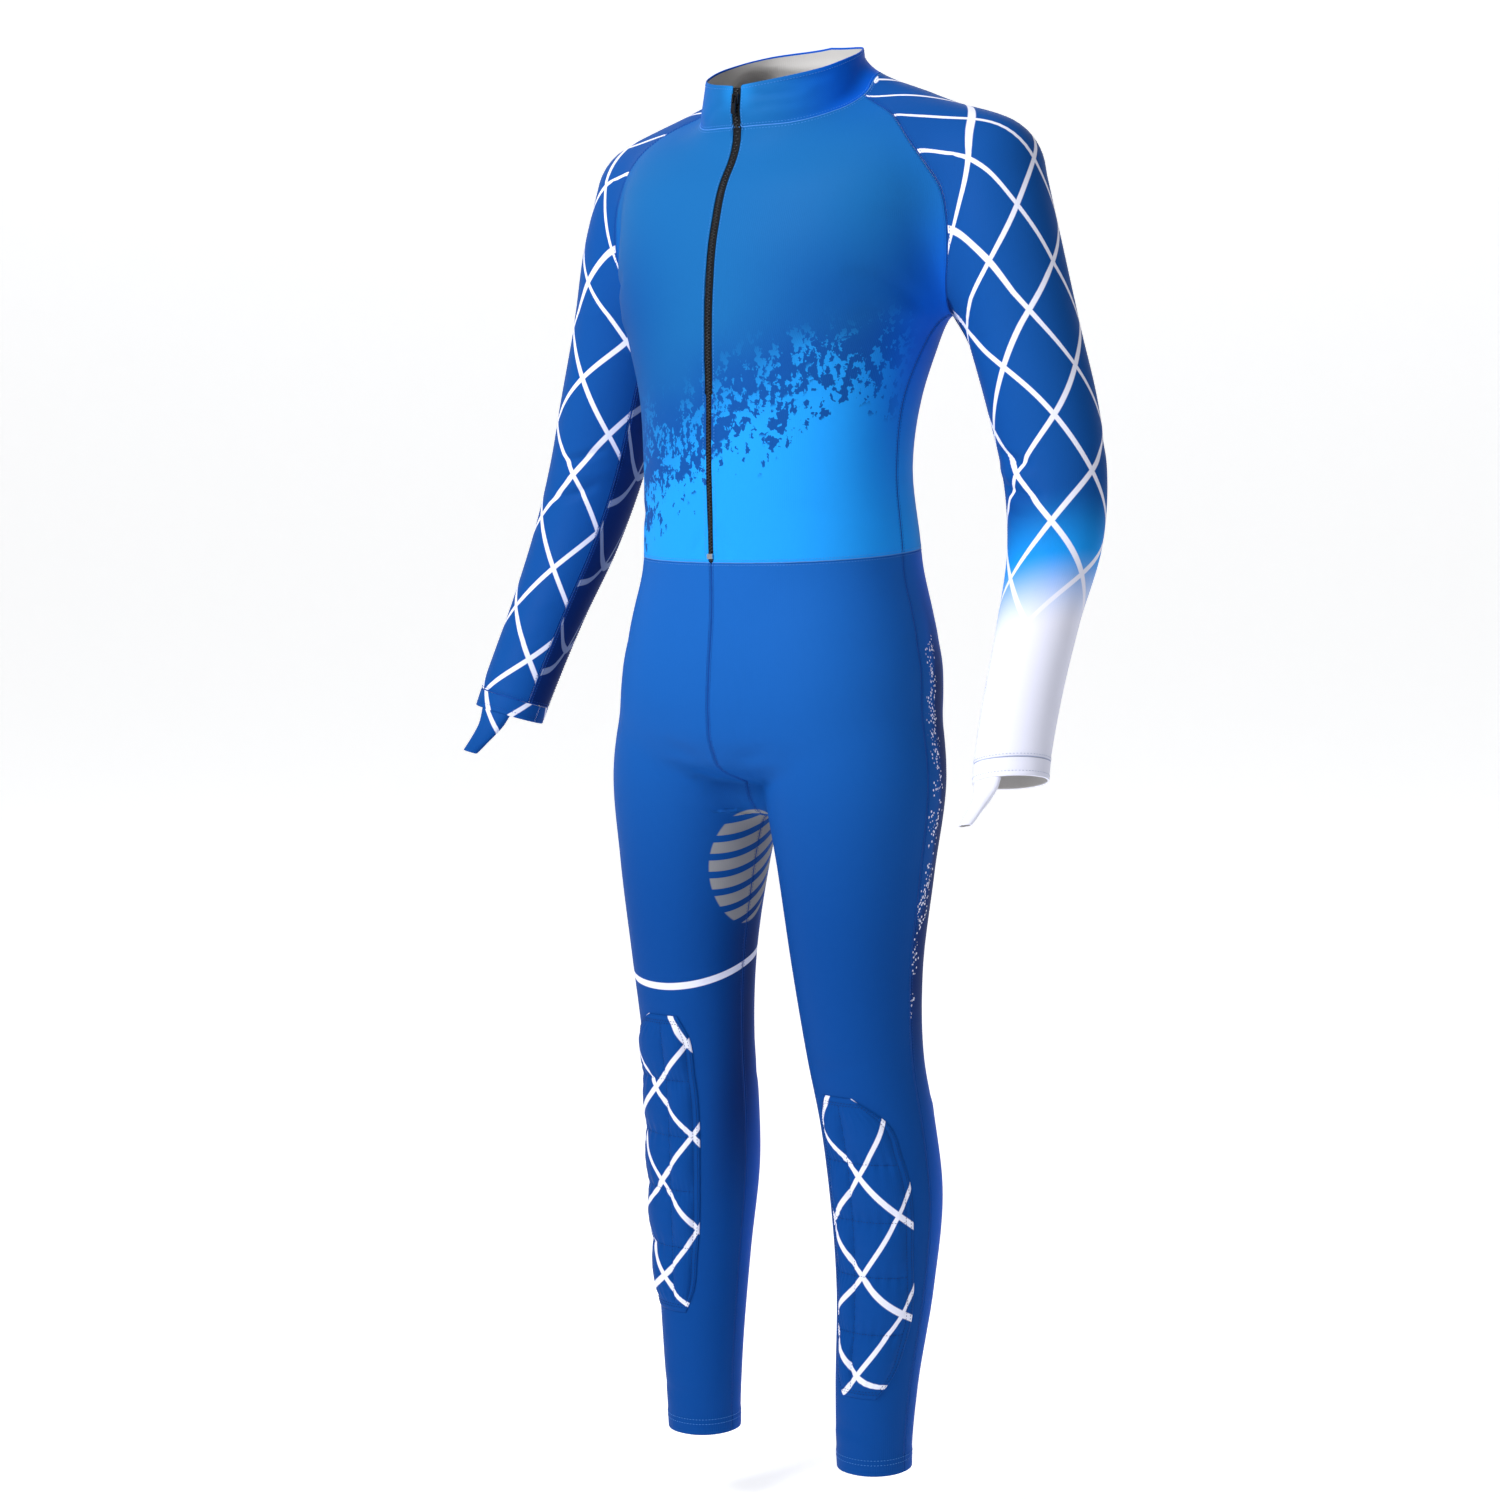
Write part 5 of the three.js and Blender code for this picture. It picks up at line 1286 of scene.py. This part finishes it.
def pad_grid(side):
    """Points of a shin pad on the leg's form, and the height of its quilted face over them."""
    top, bottom = PAD_SPAN[side]
    down = np.linspace(0, 1, PAD_DOWN + 1)
    z = mix(top, bottom, down)[:, None]
    inner, outer = along(PAD_WIDTH, 1, down)[:, None], along(PAD_WIDTH, 2, down)[:, None]
    across_in = np.linspace(0, 1, PAD_ACROSS_IN + 1)[None]
    across_out = np.linspace(0, 1, PAD_ACROSS_OUT + 1)[None, 1:]
    turn = np.radians(np.concatenate([-inner * (1 - across_in), outer * across_out], axis=1))
    x = along(LEG, 1, z) + along(LEG, 3, z) * np.sin(turn)
    y = along(LEG, 2, z) - along(LEG, 4, z) * np.cos(turn)
    grid = settle(np.stack([x, y, np.broadcast_to(z, x.shape)], -1))
    inside = (down - PAD_BORDER_DOWN) / (1 - 2 * PAD_BORDER_DOWN)
    cell = np.where((inside > 0) & (inside < 1), (inside * PAD_CELLS) % 1, 0)
    cell_in = (across_in - PAD_BORDER_IN) / (1 - PAD_BORDER_IN)
    cell_out = across_out / (1 - PAD_BORDER_OUT)
    across = np.clip(np.concatenate([cell_in, cell_out], axis=1), 0, 1)
    crown = bulge(cell)[:, None] * bulge(across)
    in_cells = np.minimum(np.clip(inside, 0, 1), np.clip(1 - inside, 0, 1))[:, None] * 40
    in_cells = np.clip(np.minimum(in_cells, np.concatenate([cell_in, 1 - cell_out], axis=1) * 9), 0, 1)
    pucker = 0.7 * np.sin(across * 34 + down[:, None] * 11) * (1 - bulge(cell))[:, None]
    pucker = pucker + 0.55 * np.sin(down[:, None] * 170 + across * 5) * (1 - bulge(across))
    height = PAD_LIFT + mix(PAD_BORDER, PAD_GROOVE, in_cells) + PAD_SWELL * crown + pucker * in_cells
    edge = np.minimum(np.minimum(down, 1 - down)[:, None] * 70,
                      np.concatenate([across_in * 12, (1 - across_out) * 18], axis=1))
    rounded = 1 - (1 - np.clip(edge, 0, 1)) ** 2
    return grid, mix(PAD_REST + PAD_EDGE, height, rounded)


class SUIT_OT_shin_pads(bpy.types.Operator):
    """Builds the quilted shin pads, with crowned cells and puckers beside their stitching"""

    bl_idname = "skating_suit.shin_pads"
    bl_label = "Build Shin Pads"

    def execute(self, context):
        settings = context.scene.skating_suit
        cloth = cloth_material("quilted_knit_pad", settings.shin_blue,
                               lattice_paint(settings.shin_blue, settings, LATTICE_PAD))
        for side, sign in SIDES.items():
            grid, height = pad_grid(side)
            grid = sided(grid, sign)
            normal = unit(slope(grid))
            made = wall(f"quilted_pad_{side}", grid + normal * height[..., None],
                        grid + normal * PAD_REST, grid, cloth_uv(grid, False), steps=0,
                        fold=len(grid) + 1)
            dress(made, cloth, [f"shin_pad_{side}"])
        return {"FINISHED"}


def zip_frames(heights, lift):
    """Points up the middle of the zip at a lift over the form, with across, up and out directions."""
    base = zip_line(0.0, heights)
    up = unit(np.gradient(base, axis=0))
    out = unit(np.cross([1.0, 0, 0], up))
    return base + out * lift, up, out


def many(shape, faces, places, across, up, out):
    """One mesh of a small shape repeated at many places, turned to each place's directions."""
    axes = np.stack([across, up, out], axis=1)
    points = np.einsum("vk,nkc->nvc", shape, axes) + places[:, None]
    numbers = np.arange(len(places))[:, None, None] * len(shape) + np.asarray(faces)[None]
    return points.reshape(-1, 3), numbers.reshape(-1, len(faces[0])).tolist()


def small_bead(long, wide, thick, sides=6, rings=3):
    """A pointed bead: rings of an oval that follow a half circle along its length."""
    turn = np.linspace(0, np.pi, rings + 2)[1:-1, None]
    angle = (2 * np.pi * np.arange(sides) / sides)[None]
    x = wide * np.sin(turn) ** 0.7 * np.cos(angle)
    z = thick * np.sin(turn) ** 0.7 * np.sin(angle)
    y = np.broadcast_to(-long * np.cos(turn), x.shape)
    shape = np.concatenate([[[0, -long, 0]], np.stack([x, y, z], -1).reshape(-1, 3), [[0, long, 0]]])
    faces = []
    for k in range(sides):
        n = (k + 1) % sides
        faces.append([0, 1 + n, 1 + k, 1 + k])
        for start in range(1, 1 + (rings - 1) * sides, sides):
            faces.append([start + k, start + n, start + sides + n, start + sides + k])
        last = 1 + (rings - 1) * sides
        faces.append([last + k, last + n, len(shape) - 1, len(shape) - 1])
    return shape, faces


def bead_mesh(name, places, across, up, out, bead, material):
    """One mesh of beads at many places, with its material, body and slot."""
    shape, faces = bead
    points, numbers = many(shape, faces, places, across, up, out)
    lists = [list(dict.fromkeys(face)) for face in numbers]
    made = add_mesh(name, points, lists)
    made.data.materials.append(material)
    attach(made, "suit")


class SUIT_OT_zip(bpy.types.Operator):
    """Builds the zip's tape and its two rows of coil, and finishes the slider, pull and stop"""

    bl_idname = "skating_suit.zip"
    bl_label = "Build Zip"

    def execute(self, context):
        settings = context.scene.skating_suit
        heights = mix(WAIST_FRONT + 0.0, COLLAR_TOP[0, 1] - 0.3, ZIP_UP)
        columns = np.linspace(-ZIP_HALF, ZIP_HALF, 9)
        grid = np.stack([zip_line(x, heights) for x in columns], axis=1)
        made = cloth_wall("zip_tape", grid, ("bottom", "top"), 1.2)
        # Woven polyester tape: a dull, nearly black strip with fine cross ribs.
        tape, tree, surface = new_material("woven_polyester_tape", linear("#05070d"), 0.7,
                                           Specular_IOR_Level=0.2)
        uv = node(tree, "ShaderNodeUVMap", uv_map="cloth").outputs[0]
        weave = node(tree, "ShaderNodeTexWave", {"Vector": uv, "Scale": 240.0}, bands_direction="Y")
        bump = node(tree, "ShaderNodeBump", {"Strength": 0.4, "Distance": 0.0002,
                                             "Height": weave.outputs["Fac"]})
        tree.links.new(bump.outputs[0], surface.inputs["Normal"])
        dress(made, tape, ["zip_strip"])
        # Nylon coil: dark with a soft gloss, so that each tooth shows a small light.
        coil, _, _ = new_material("nylon_coil", linear("#0d1019"), 0.36)
        length = (COLLAR_TOP[0, 1] - WAIST_FRONT) * 1.08
        count = int(length / (settings.tooth_pitch * 1000))
        rows = np.linspace(0.004, 0.994, count)
        middle, up, out = zip_frames(mix(WAIST_FRONT + 0.0, COLLAR_TOP[0, 1], rows), 1.75)
        sign = np.where(np.arange(count) % 2 == 0, 1.0, -1.0)[:, None]
        across = np.tile([1.0, 0, 0], (count, 1))
        places = middle + across * sign * 0.9
        bead_mesh("zip_teeth", places, up, across, out, small_bead(1.9, 0.72, 0.6, 6, 3), coil)
        # Lacquered zinc is nearly black with a clear glint; pressed aluminium is bright and satin.
        lacquer = grained_material("lacquered_zinc", linear("#11141c"), 0.32, 900.0, 0.15, Metallic=0.5,
                                   Coat_Weight=0.4)
        metal = grained_material("pressed_aluminium", linear("#c7cbd1"), 0.3, 1400.0, 0.2, Metallic=1.0)
        for name, material in (("zip_slider", lacquer), ("zip_pull", lacquer), ("zip_stop", metal)):
            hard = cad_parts[name]
            hard.data.materials.clear()
            hard.data.materials.append(material)
        return {"FINISHED"}


def stitch_run(path, lift, pitch, offset=0.0):
    """Stitch places along a path of surface points, moved sideways by offset and out by lift."""
    steps = np.linalg.norm(np.diff(path, axis=0), axis=1)
    length = np.concatenate([[0], np.cumsum(steps)])
    count = max(int(length[-1] / pitch), 2)
    at = (np.arange(count) + 0.5) * length[-1] / count
    points = np.stack([np.interp(at, length, path[:, k]) for k in range(3)], -1)
    along_path = unit(np.gradient(points, axis=0))
    out = unit(slope(points))
    side = unit(np.cross(along_path, out))
    along_path = unit(np.cross(out, side))
    return points + side * offset + out * lift, side, along_path, out


SEAM_OFFSET = 2.6
WELT_RADIUS, WELT_LIFT, WELT_STEP, WELT_SIDES = 0.62, 1.12, 3.0, 6


def welts(name, paths, material):
    """Round covering threads laid along seams: a small circle swept down each path."""
    points, faces, start = [], [], 0
    angle = 2 * np.pi * np.arange(WELT_SIDES) / WELT_SIDES
    for path in paths:
        centre, side, _, out = stitch_run(path, WELT_LIFT, WELT_STEP)
        ring = (side[:, None] * np.cos(angle)[None, :, None]
                + out[:, None] * np.sin(angle)[None, :, None])
        points.append((centre[:, None] + WELT_RADIUS * ring).reshape(-1, 3))
        index = start + np.arange(len(centre) * WELT_SIDES).reshape(-1, WELT_SIDES)
        beside = np.roll(index, -1, axis=1)
        quads = np.stack([index[:-1], beside[:-1], beside[1:], index[1:]], -1)
        faces += quads.reshape(-1, 4).tolist() + [index[0][::-1].tolist(), index[-1].tolist()]
        start += index.size
    made = add_mesh(name, np.concatenate(points), faces)
    made.data.materials.append(material)
    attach(made, "suit")


def double_rows(paths, lift, pitch):
    """Stitches along each path in two rows, one on each side of the seam."""
    return [stitch_run(path, lift, pitch, offset)
            for path in paths for offset in (-SEAM_OFFSET, SEAM_OFFSET)]


def both_sides(paths):
    """Paths of the wearer's left and their mirror images."""
    return [sided(path, sign) for sign in SIDES.values() for path in paths]


# Stitch heights over the form, and where rows run: beside the zip, and above the hem's edge.
STITCH_LIFT = CLOTH + 0.12
ZIP_ROW, HEM_ROWS = 6.8, (HEM_HEIGHT + HEM_DEPTH - 3, HEM_HEIGHT + HEM_DEPTH - 8)
CENTRE_ASIDE = [0.2, 0, 0]
# Columns: name, colour and gloss. Polyester thread has a soft sheen: the dark threads sink into
# their seams, and the light ones show as fine dotted rows.
# The deepest navy thread is real pad stitching, made darker as painted shade for the pads' quilting
# grooves.
THREADS = (
    ("polyester_thread", "#4485d2", 0.2), ("polyester_thread_dark", "#14479a", 0.1),
    ("polyester_thread_pale", "#aab4d2", 0.2), ("polyester_thread_groove_shade", "#08265c", 0.1),
)


class SUIT_OT_seams(bpy.types.Operator):
    """Sews the seams, hems, zip edges and quilting with rows of raised stitches"""

    bl_idname = "skating_suit.seams"
    bl_label = "Sew Seams"

    def execute(self, context):
        pitch = context.scene.skating_suit.stitch_pitch * 1000
        thread, dark, pale, deep = (
            grained_material(name, linear(colour), 0.6, 1500.0, 0.3, Specular_IOR_Level=gloss)
            for name, colour, gloss in THREADS)
        bead = small_bead(1.1, 0.3, 0.26, 5, 2)

        def sew(name, runs, material):
            """One mesh of stitches from the rows of places and directions in runs."""
            places, side, run, out = (np.concatenate(group) for group in zip(*runs))
            bead_mesh(name, places, side, run, out, bead, material)

        side_seam = front_panel()[:len(SIDE_UP) + 1, -1]
        paths = both_sides([np.vstack([front_under, front_rise[1:]]),
                            np.vstack([back_under, back_rise[1:]]), side_seam])
        sew("stitches_torso", double_rows(paths, STITCH_LIFT, pitch), dark)
        welts("seam_threads_torso", paths, dark)

        waist = waist_ring(np.linspace(0, 360, 400))
        zip_heights = np.linspace(WAIST_FRONT + 4, COLLAR_TOP[0, 1] - 2, 240)
        runs = double_rows([waist], STITCH_LIFT, pitch)
        runs += [stitch_run(zip_line(x, zip_heights), STITCH_LIFT, pitch) for x in (ZIP_ROW, -ZIP_ROW)]
        sew("stitches_waist_and_zip", runs, thread)
        welts("seam_threads_waist", [waist], thread)

        leg_front, leg_back = leg_panels()
        paths = both_sides([leg_front[:, 0] + CENTRE_ASIDE, leg_front[:, -1],
                            leg_back[:, -1] + CENTRE_ASIDE])
        sew("stitches_legs", double_rows(paths, STITCH_LIFT, pitch), dark)
        hip = len(HIP_DOWN)
        paths = both_sides([leg_back[hip - 1:, -1], leg_front[:, -1]])
        welts("seam_threads_legs", [leg_front[:hip, 0], leg_back[:hip, -1], *paths], dark)

        angle = np.linspace(0, 2 * np.pi, 90)
        rings = [settle(np.stack([along(LEG, 1, z) + along(LEG, 3, z) * np.sin(angle),
                                  along(LEG, 2, z) - along(LEG, 4, z) * np.cos(angle),
                                  np.full(len(angle), float(z))], -1)) for z in HEM_ROWS]
        runs = [stitch_run(ring, STITCH_LIFT + HEM_LAYER, pitch) for ring in both_sides(rings)]
        sew("stitches_hems", runs, thread)

        neck, top = collar_grid()[0], collar_grid()[-3]
        runs = double_rows([neck], STITCH_LIFT, pitch) + [stitch_run(top, STITCH_LIFT, pitch)]
        sew("stitches_collar", runs, thread)
        welts("seam_threads_collar", [neck], thread)

        for side, sign in SIDES.items():
            light = dark if side == "right" else pale
            seam, edge = SLEEVE_END[side]
            stations = mix(FIRST_RING + 0.0, seam, np.linspace(0, 1, 120))
            seams = [sided(arm_ring(stations, np.array([float(angle)]))[:, 0], sign)
                     for angle in UNDERARM_ANGLES.values()]
            runs = double_rows(seams, STITCH_LIFT, pitch)
            for t in (seam - 2.5, edge - 4.0):
                ring = arm_ring(np.array([t]), np.linspace(0, 360, 90))[0]
                runs.append(stitch_run(sided(ring, sign), STITCH_LIFT + 0.3, pitch))
            sew(f"stitches_sleeve_{side}", runs, light)
            ring = sided(arm_ring(np.array([float(seam)]), np.linspace(0, 360, 120))[0], sign)
            welts(f"seam_threads_sleeve_{side}", seams, dark)
            welts(f"seam_threads_cuff_{side}", [ring], light)

        border = PAD_BORDER_DOWN * PAD_DOWN
        rows = np.round(np.linspace(border, PAD_DOWN - border, PAD_CELLS + 1)).astype(int)
        near = round(PAD_BORDER_IN * PAD_ACROSS_IN)
        far = round(PAD_BORDER_OUT * PAD_ACROSS_OUT)
        for side, sign in SIDES.items():
            grid, height = pad_grid(side)
            grid = sided(grid, sign)
            face = grid + unit(slope(grid)) * height[..., None]
            lines = [face[row, near:-far] for row in rows]
            lines += [face[rows[0]:rows[-1], k] for k in (near, PAD_ACROSS_IN, -far - 1)]
            lines += [face[2:-2, k] for k in (2, -3)] + [face[2, 2:-2], face[-3, 2:-2]]
            runs = [stitch_run(line, 0.15, pitch) for line in lines]
            # The pad stitches are deep navy: real thread, darker as painted shade in the quilting grooves
            # they lie in.
            sew(f"stitches_pad_{side}", runs, deep)
        return {"FINISHED"}


# The camera, from where the photograph was taken: azimuth and elevation in degrees, the rest
# in millimetres at the suit, and the picture's size in pixels.
CAMERA = {"azimuth": 38.0, "elevation": 5.0, "distance": 3200.0, "focal_px": 3090.0}
PICTURE_PX, SENSOR_MM = 1500, 36.0
AIM_HEIGHT = 815.0
AIM_ASIDE_PX = 50.0
# Columns: name, azimuth, elevation, distance and size in metres, and power in watts.
LIGHTS = (
    ("key_softbox", -8, 38, 2.8, 1.4, 92), ("fill_softbox", 75, 16, 3.6, 1.6, 8),
    ("back_softbox", 205, 32, 3.8, 2.2, 18), ("top_softbox", 10, 78, 3.2, 2.4, 16),
)
LIGHT_TARGET = np.array([0, 0, -0.38])
# The floor's sweep in metres: its half width, how far it runs, and where and how it bends up.
SWEEP_HALF, SWEEP_REACH, SWEEP_START, SWEEP_RADIUS = 14.0, 9.0, 6, 3
AIR_STRENGTH = 0.14


def direction(azimuth, elevation):
    """Unit direction at an azimuth counted from the front and an elevation, in degrees."""
    a, e = math.radians(azimuth), math.radians(elevation)
    return np.array([math.sin(a) * math.cos(e), -math.cos(a) * math.cos(e), math.sin(e)])


def hang(thing, place, way):
    """A camera or light at a place, looking back against a direction."""
    made = bpy.data.objects.new(thing.name, thing)
    made.location = place.tolist()
    made.rotation_mode = "QUATERNION"
    made.rotation_quaternion = Vector((-way).tolist()).to_track_quat("-Z", "Y")
    bpy.context.scene.collection.objects.link(made)
    return made


class SUIT_OT_stage(bpy.types.Operator):
    """Adds the pale floor, the soft studio lights and the camera"""

    bl_idname = "skating_suit.stage"
    bl_label = "Add Stage"

    def execute(self, context):
        scene = context.scene
        back = direction(CAMERA["azimuth"], CAMERA["elevation"])
        right = -direction(CAMERA["azimuth"] - 90, 0)
        away = -direction(CAMERA["azimuth"], 0)
        aside = AIM_ASIDE_PX * CAMERA["distance"] / CAMERA["focal_px"]
        aim = (np.array([0, 0, AIM_HEIGHT - HOLD_HEIGHT]) - right * aside) / 1000
        lens = bpy.data.cameras.new("photo_camera")
        lens.sensor_width = SENSOR_MM
        lens.lens = SENSOR_MM * CAMERA["focal_px"] / PICTURE_PX
        lens.clip_start, lens.clip_end = 0.05, 60
        scene.camera = hang(lens, aim + back * CAMERA["distance"] / 1000, back)
        scene.view_settings.view_transform = "Standard"

        turn = np.linspace(0, np.pi / 2, 40)
        depth = np.concatenate([[-SWEEP_REACH], SWEEP_START + SWEEP_RADIUS * np.sin(turn), [SWEEP_REACH]])
        height = np.concatenate([[0], SWEEP_RADIUS * (1 - np.cos(turn)), [SWEEP_REACH]])
        line = away * depth[:, None] + [0, 0, 1] * height[:, None]
        grid = np.stack([line - right * SWEEP_HALF, line + right * SWEEP_HALF], axis=1) * 1000
        index = np.arange(len(line) * 2).reshape(-1, 2)
        faces = np.stack([index[:-1, 0], index[:-1, 1], index[1:, 1], index[1:, 0]], -1)
        floor = add_mesh("studio_floor", grid, faces.tolist())
        # Matt white paper with a little light of its own, so that it stays white under the suit.
        paper, _, _ = new_material("matt_white_paper", linear("#f4f5f7"), 0.9, Emission_Strength=0.6,
                                   Emission_Color=(1, 1, 1, 1))
        floor.data.materials.append(paper)

        world = bpy.data.worlds.new("studio_air")
        scene.world = world
        world.use_nodes = True
        world.node_tree.nodes["Background"].inputs[0].default_value = (1, 1, 1, 1)
        world.node_tree.nodes["Background"].inputs[1].default_value = AIR_STRENGTH

        for name, azimuth, elevation, distance, size, power in LIGHTS:
            light = bpy.data.lights.new(name, "AREA")
            light.shape, light.size, light.energy = "SQUARE", size, power
            way = direction(azimuth, elevation)
            hang(light, LIGHT_TARGET + way * distance, way)
        return {"FINISHED"}


OPERATORS = (SUIT_OT_torso, SUIT_OT_legs, SUIT_OT_sleeves, SUIT_OT_cuffs, SUIT_OT_collar,
             SUIT_OT_shin_pads, SUIT_OT_zip, SUIT_OT_seams, SUIT_OT_stage)


class SUIT_PT_panel(bpy.types.Panel):
    """Lists the suit's pieces in the sidebar"""

    bl_idname = "SUIT_PT_panel"
    bl_label = "Skating Suit"
    bl_space_type = "VIEW_3D"
    bl_region_type = "UI"
    bl_category = "Skating Suit"

    def draw(self, context):
        for name in SuitSettings.__annotations__:
            self.layout.prop(context.scene.skating_suit, name)
        for operator in OPERATORS:
            self.layout.operator(operator.bl_idname)


CLASSES = (SuitSettings, *OPERATORS, SUIT_PT_panel)


def register():
    """Registers the settings, the operators and the panel."""
    for made in CLASSES:
        bpy.utils.register_class(made)
    bpy.types.Scene.skating_suit = bpy.props.PointerProperty(type=SuitSettings)


def unregister():
    """Takes out what register put in."""
    del bpy.types.Scene.skating_suit
    for made in reversed(CLASSES):
        bpy.utils.unregister_class(made)


def main():
    """Builds every piece in turn."""
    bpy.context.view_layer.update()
    register()
    for operator in OPERATORS:
        group, name = operator.bl_idname.split(".")
        getattr(getattr(bpy.ops, group), name)()


if __name__ == "__main__":
    main()
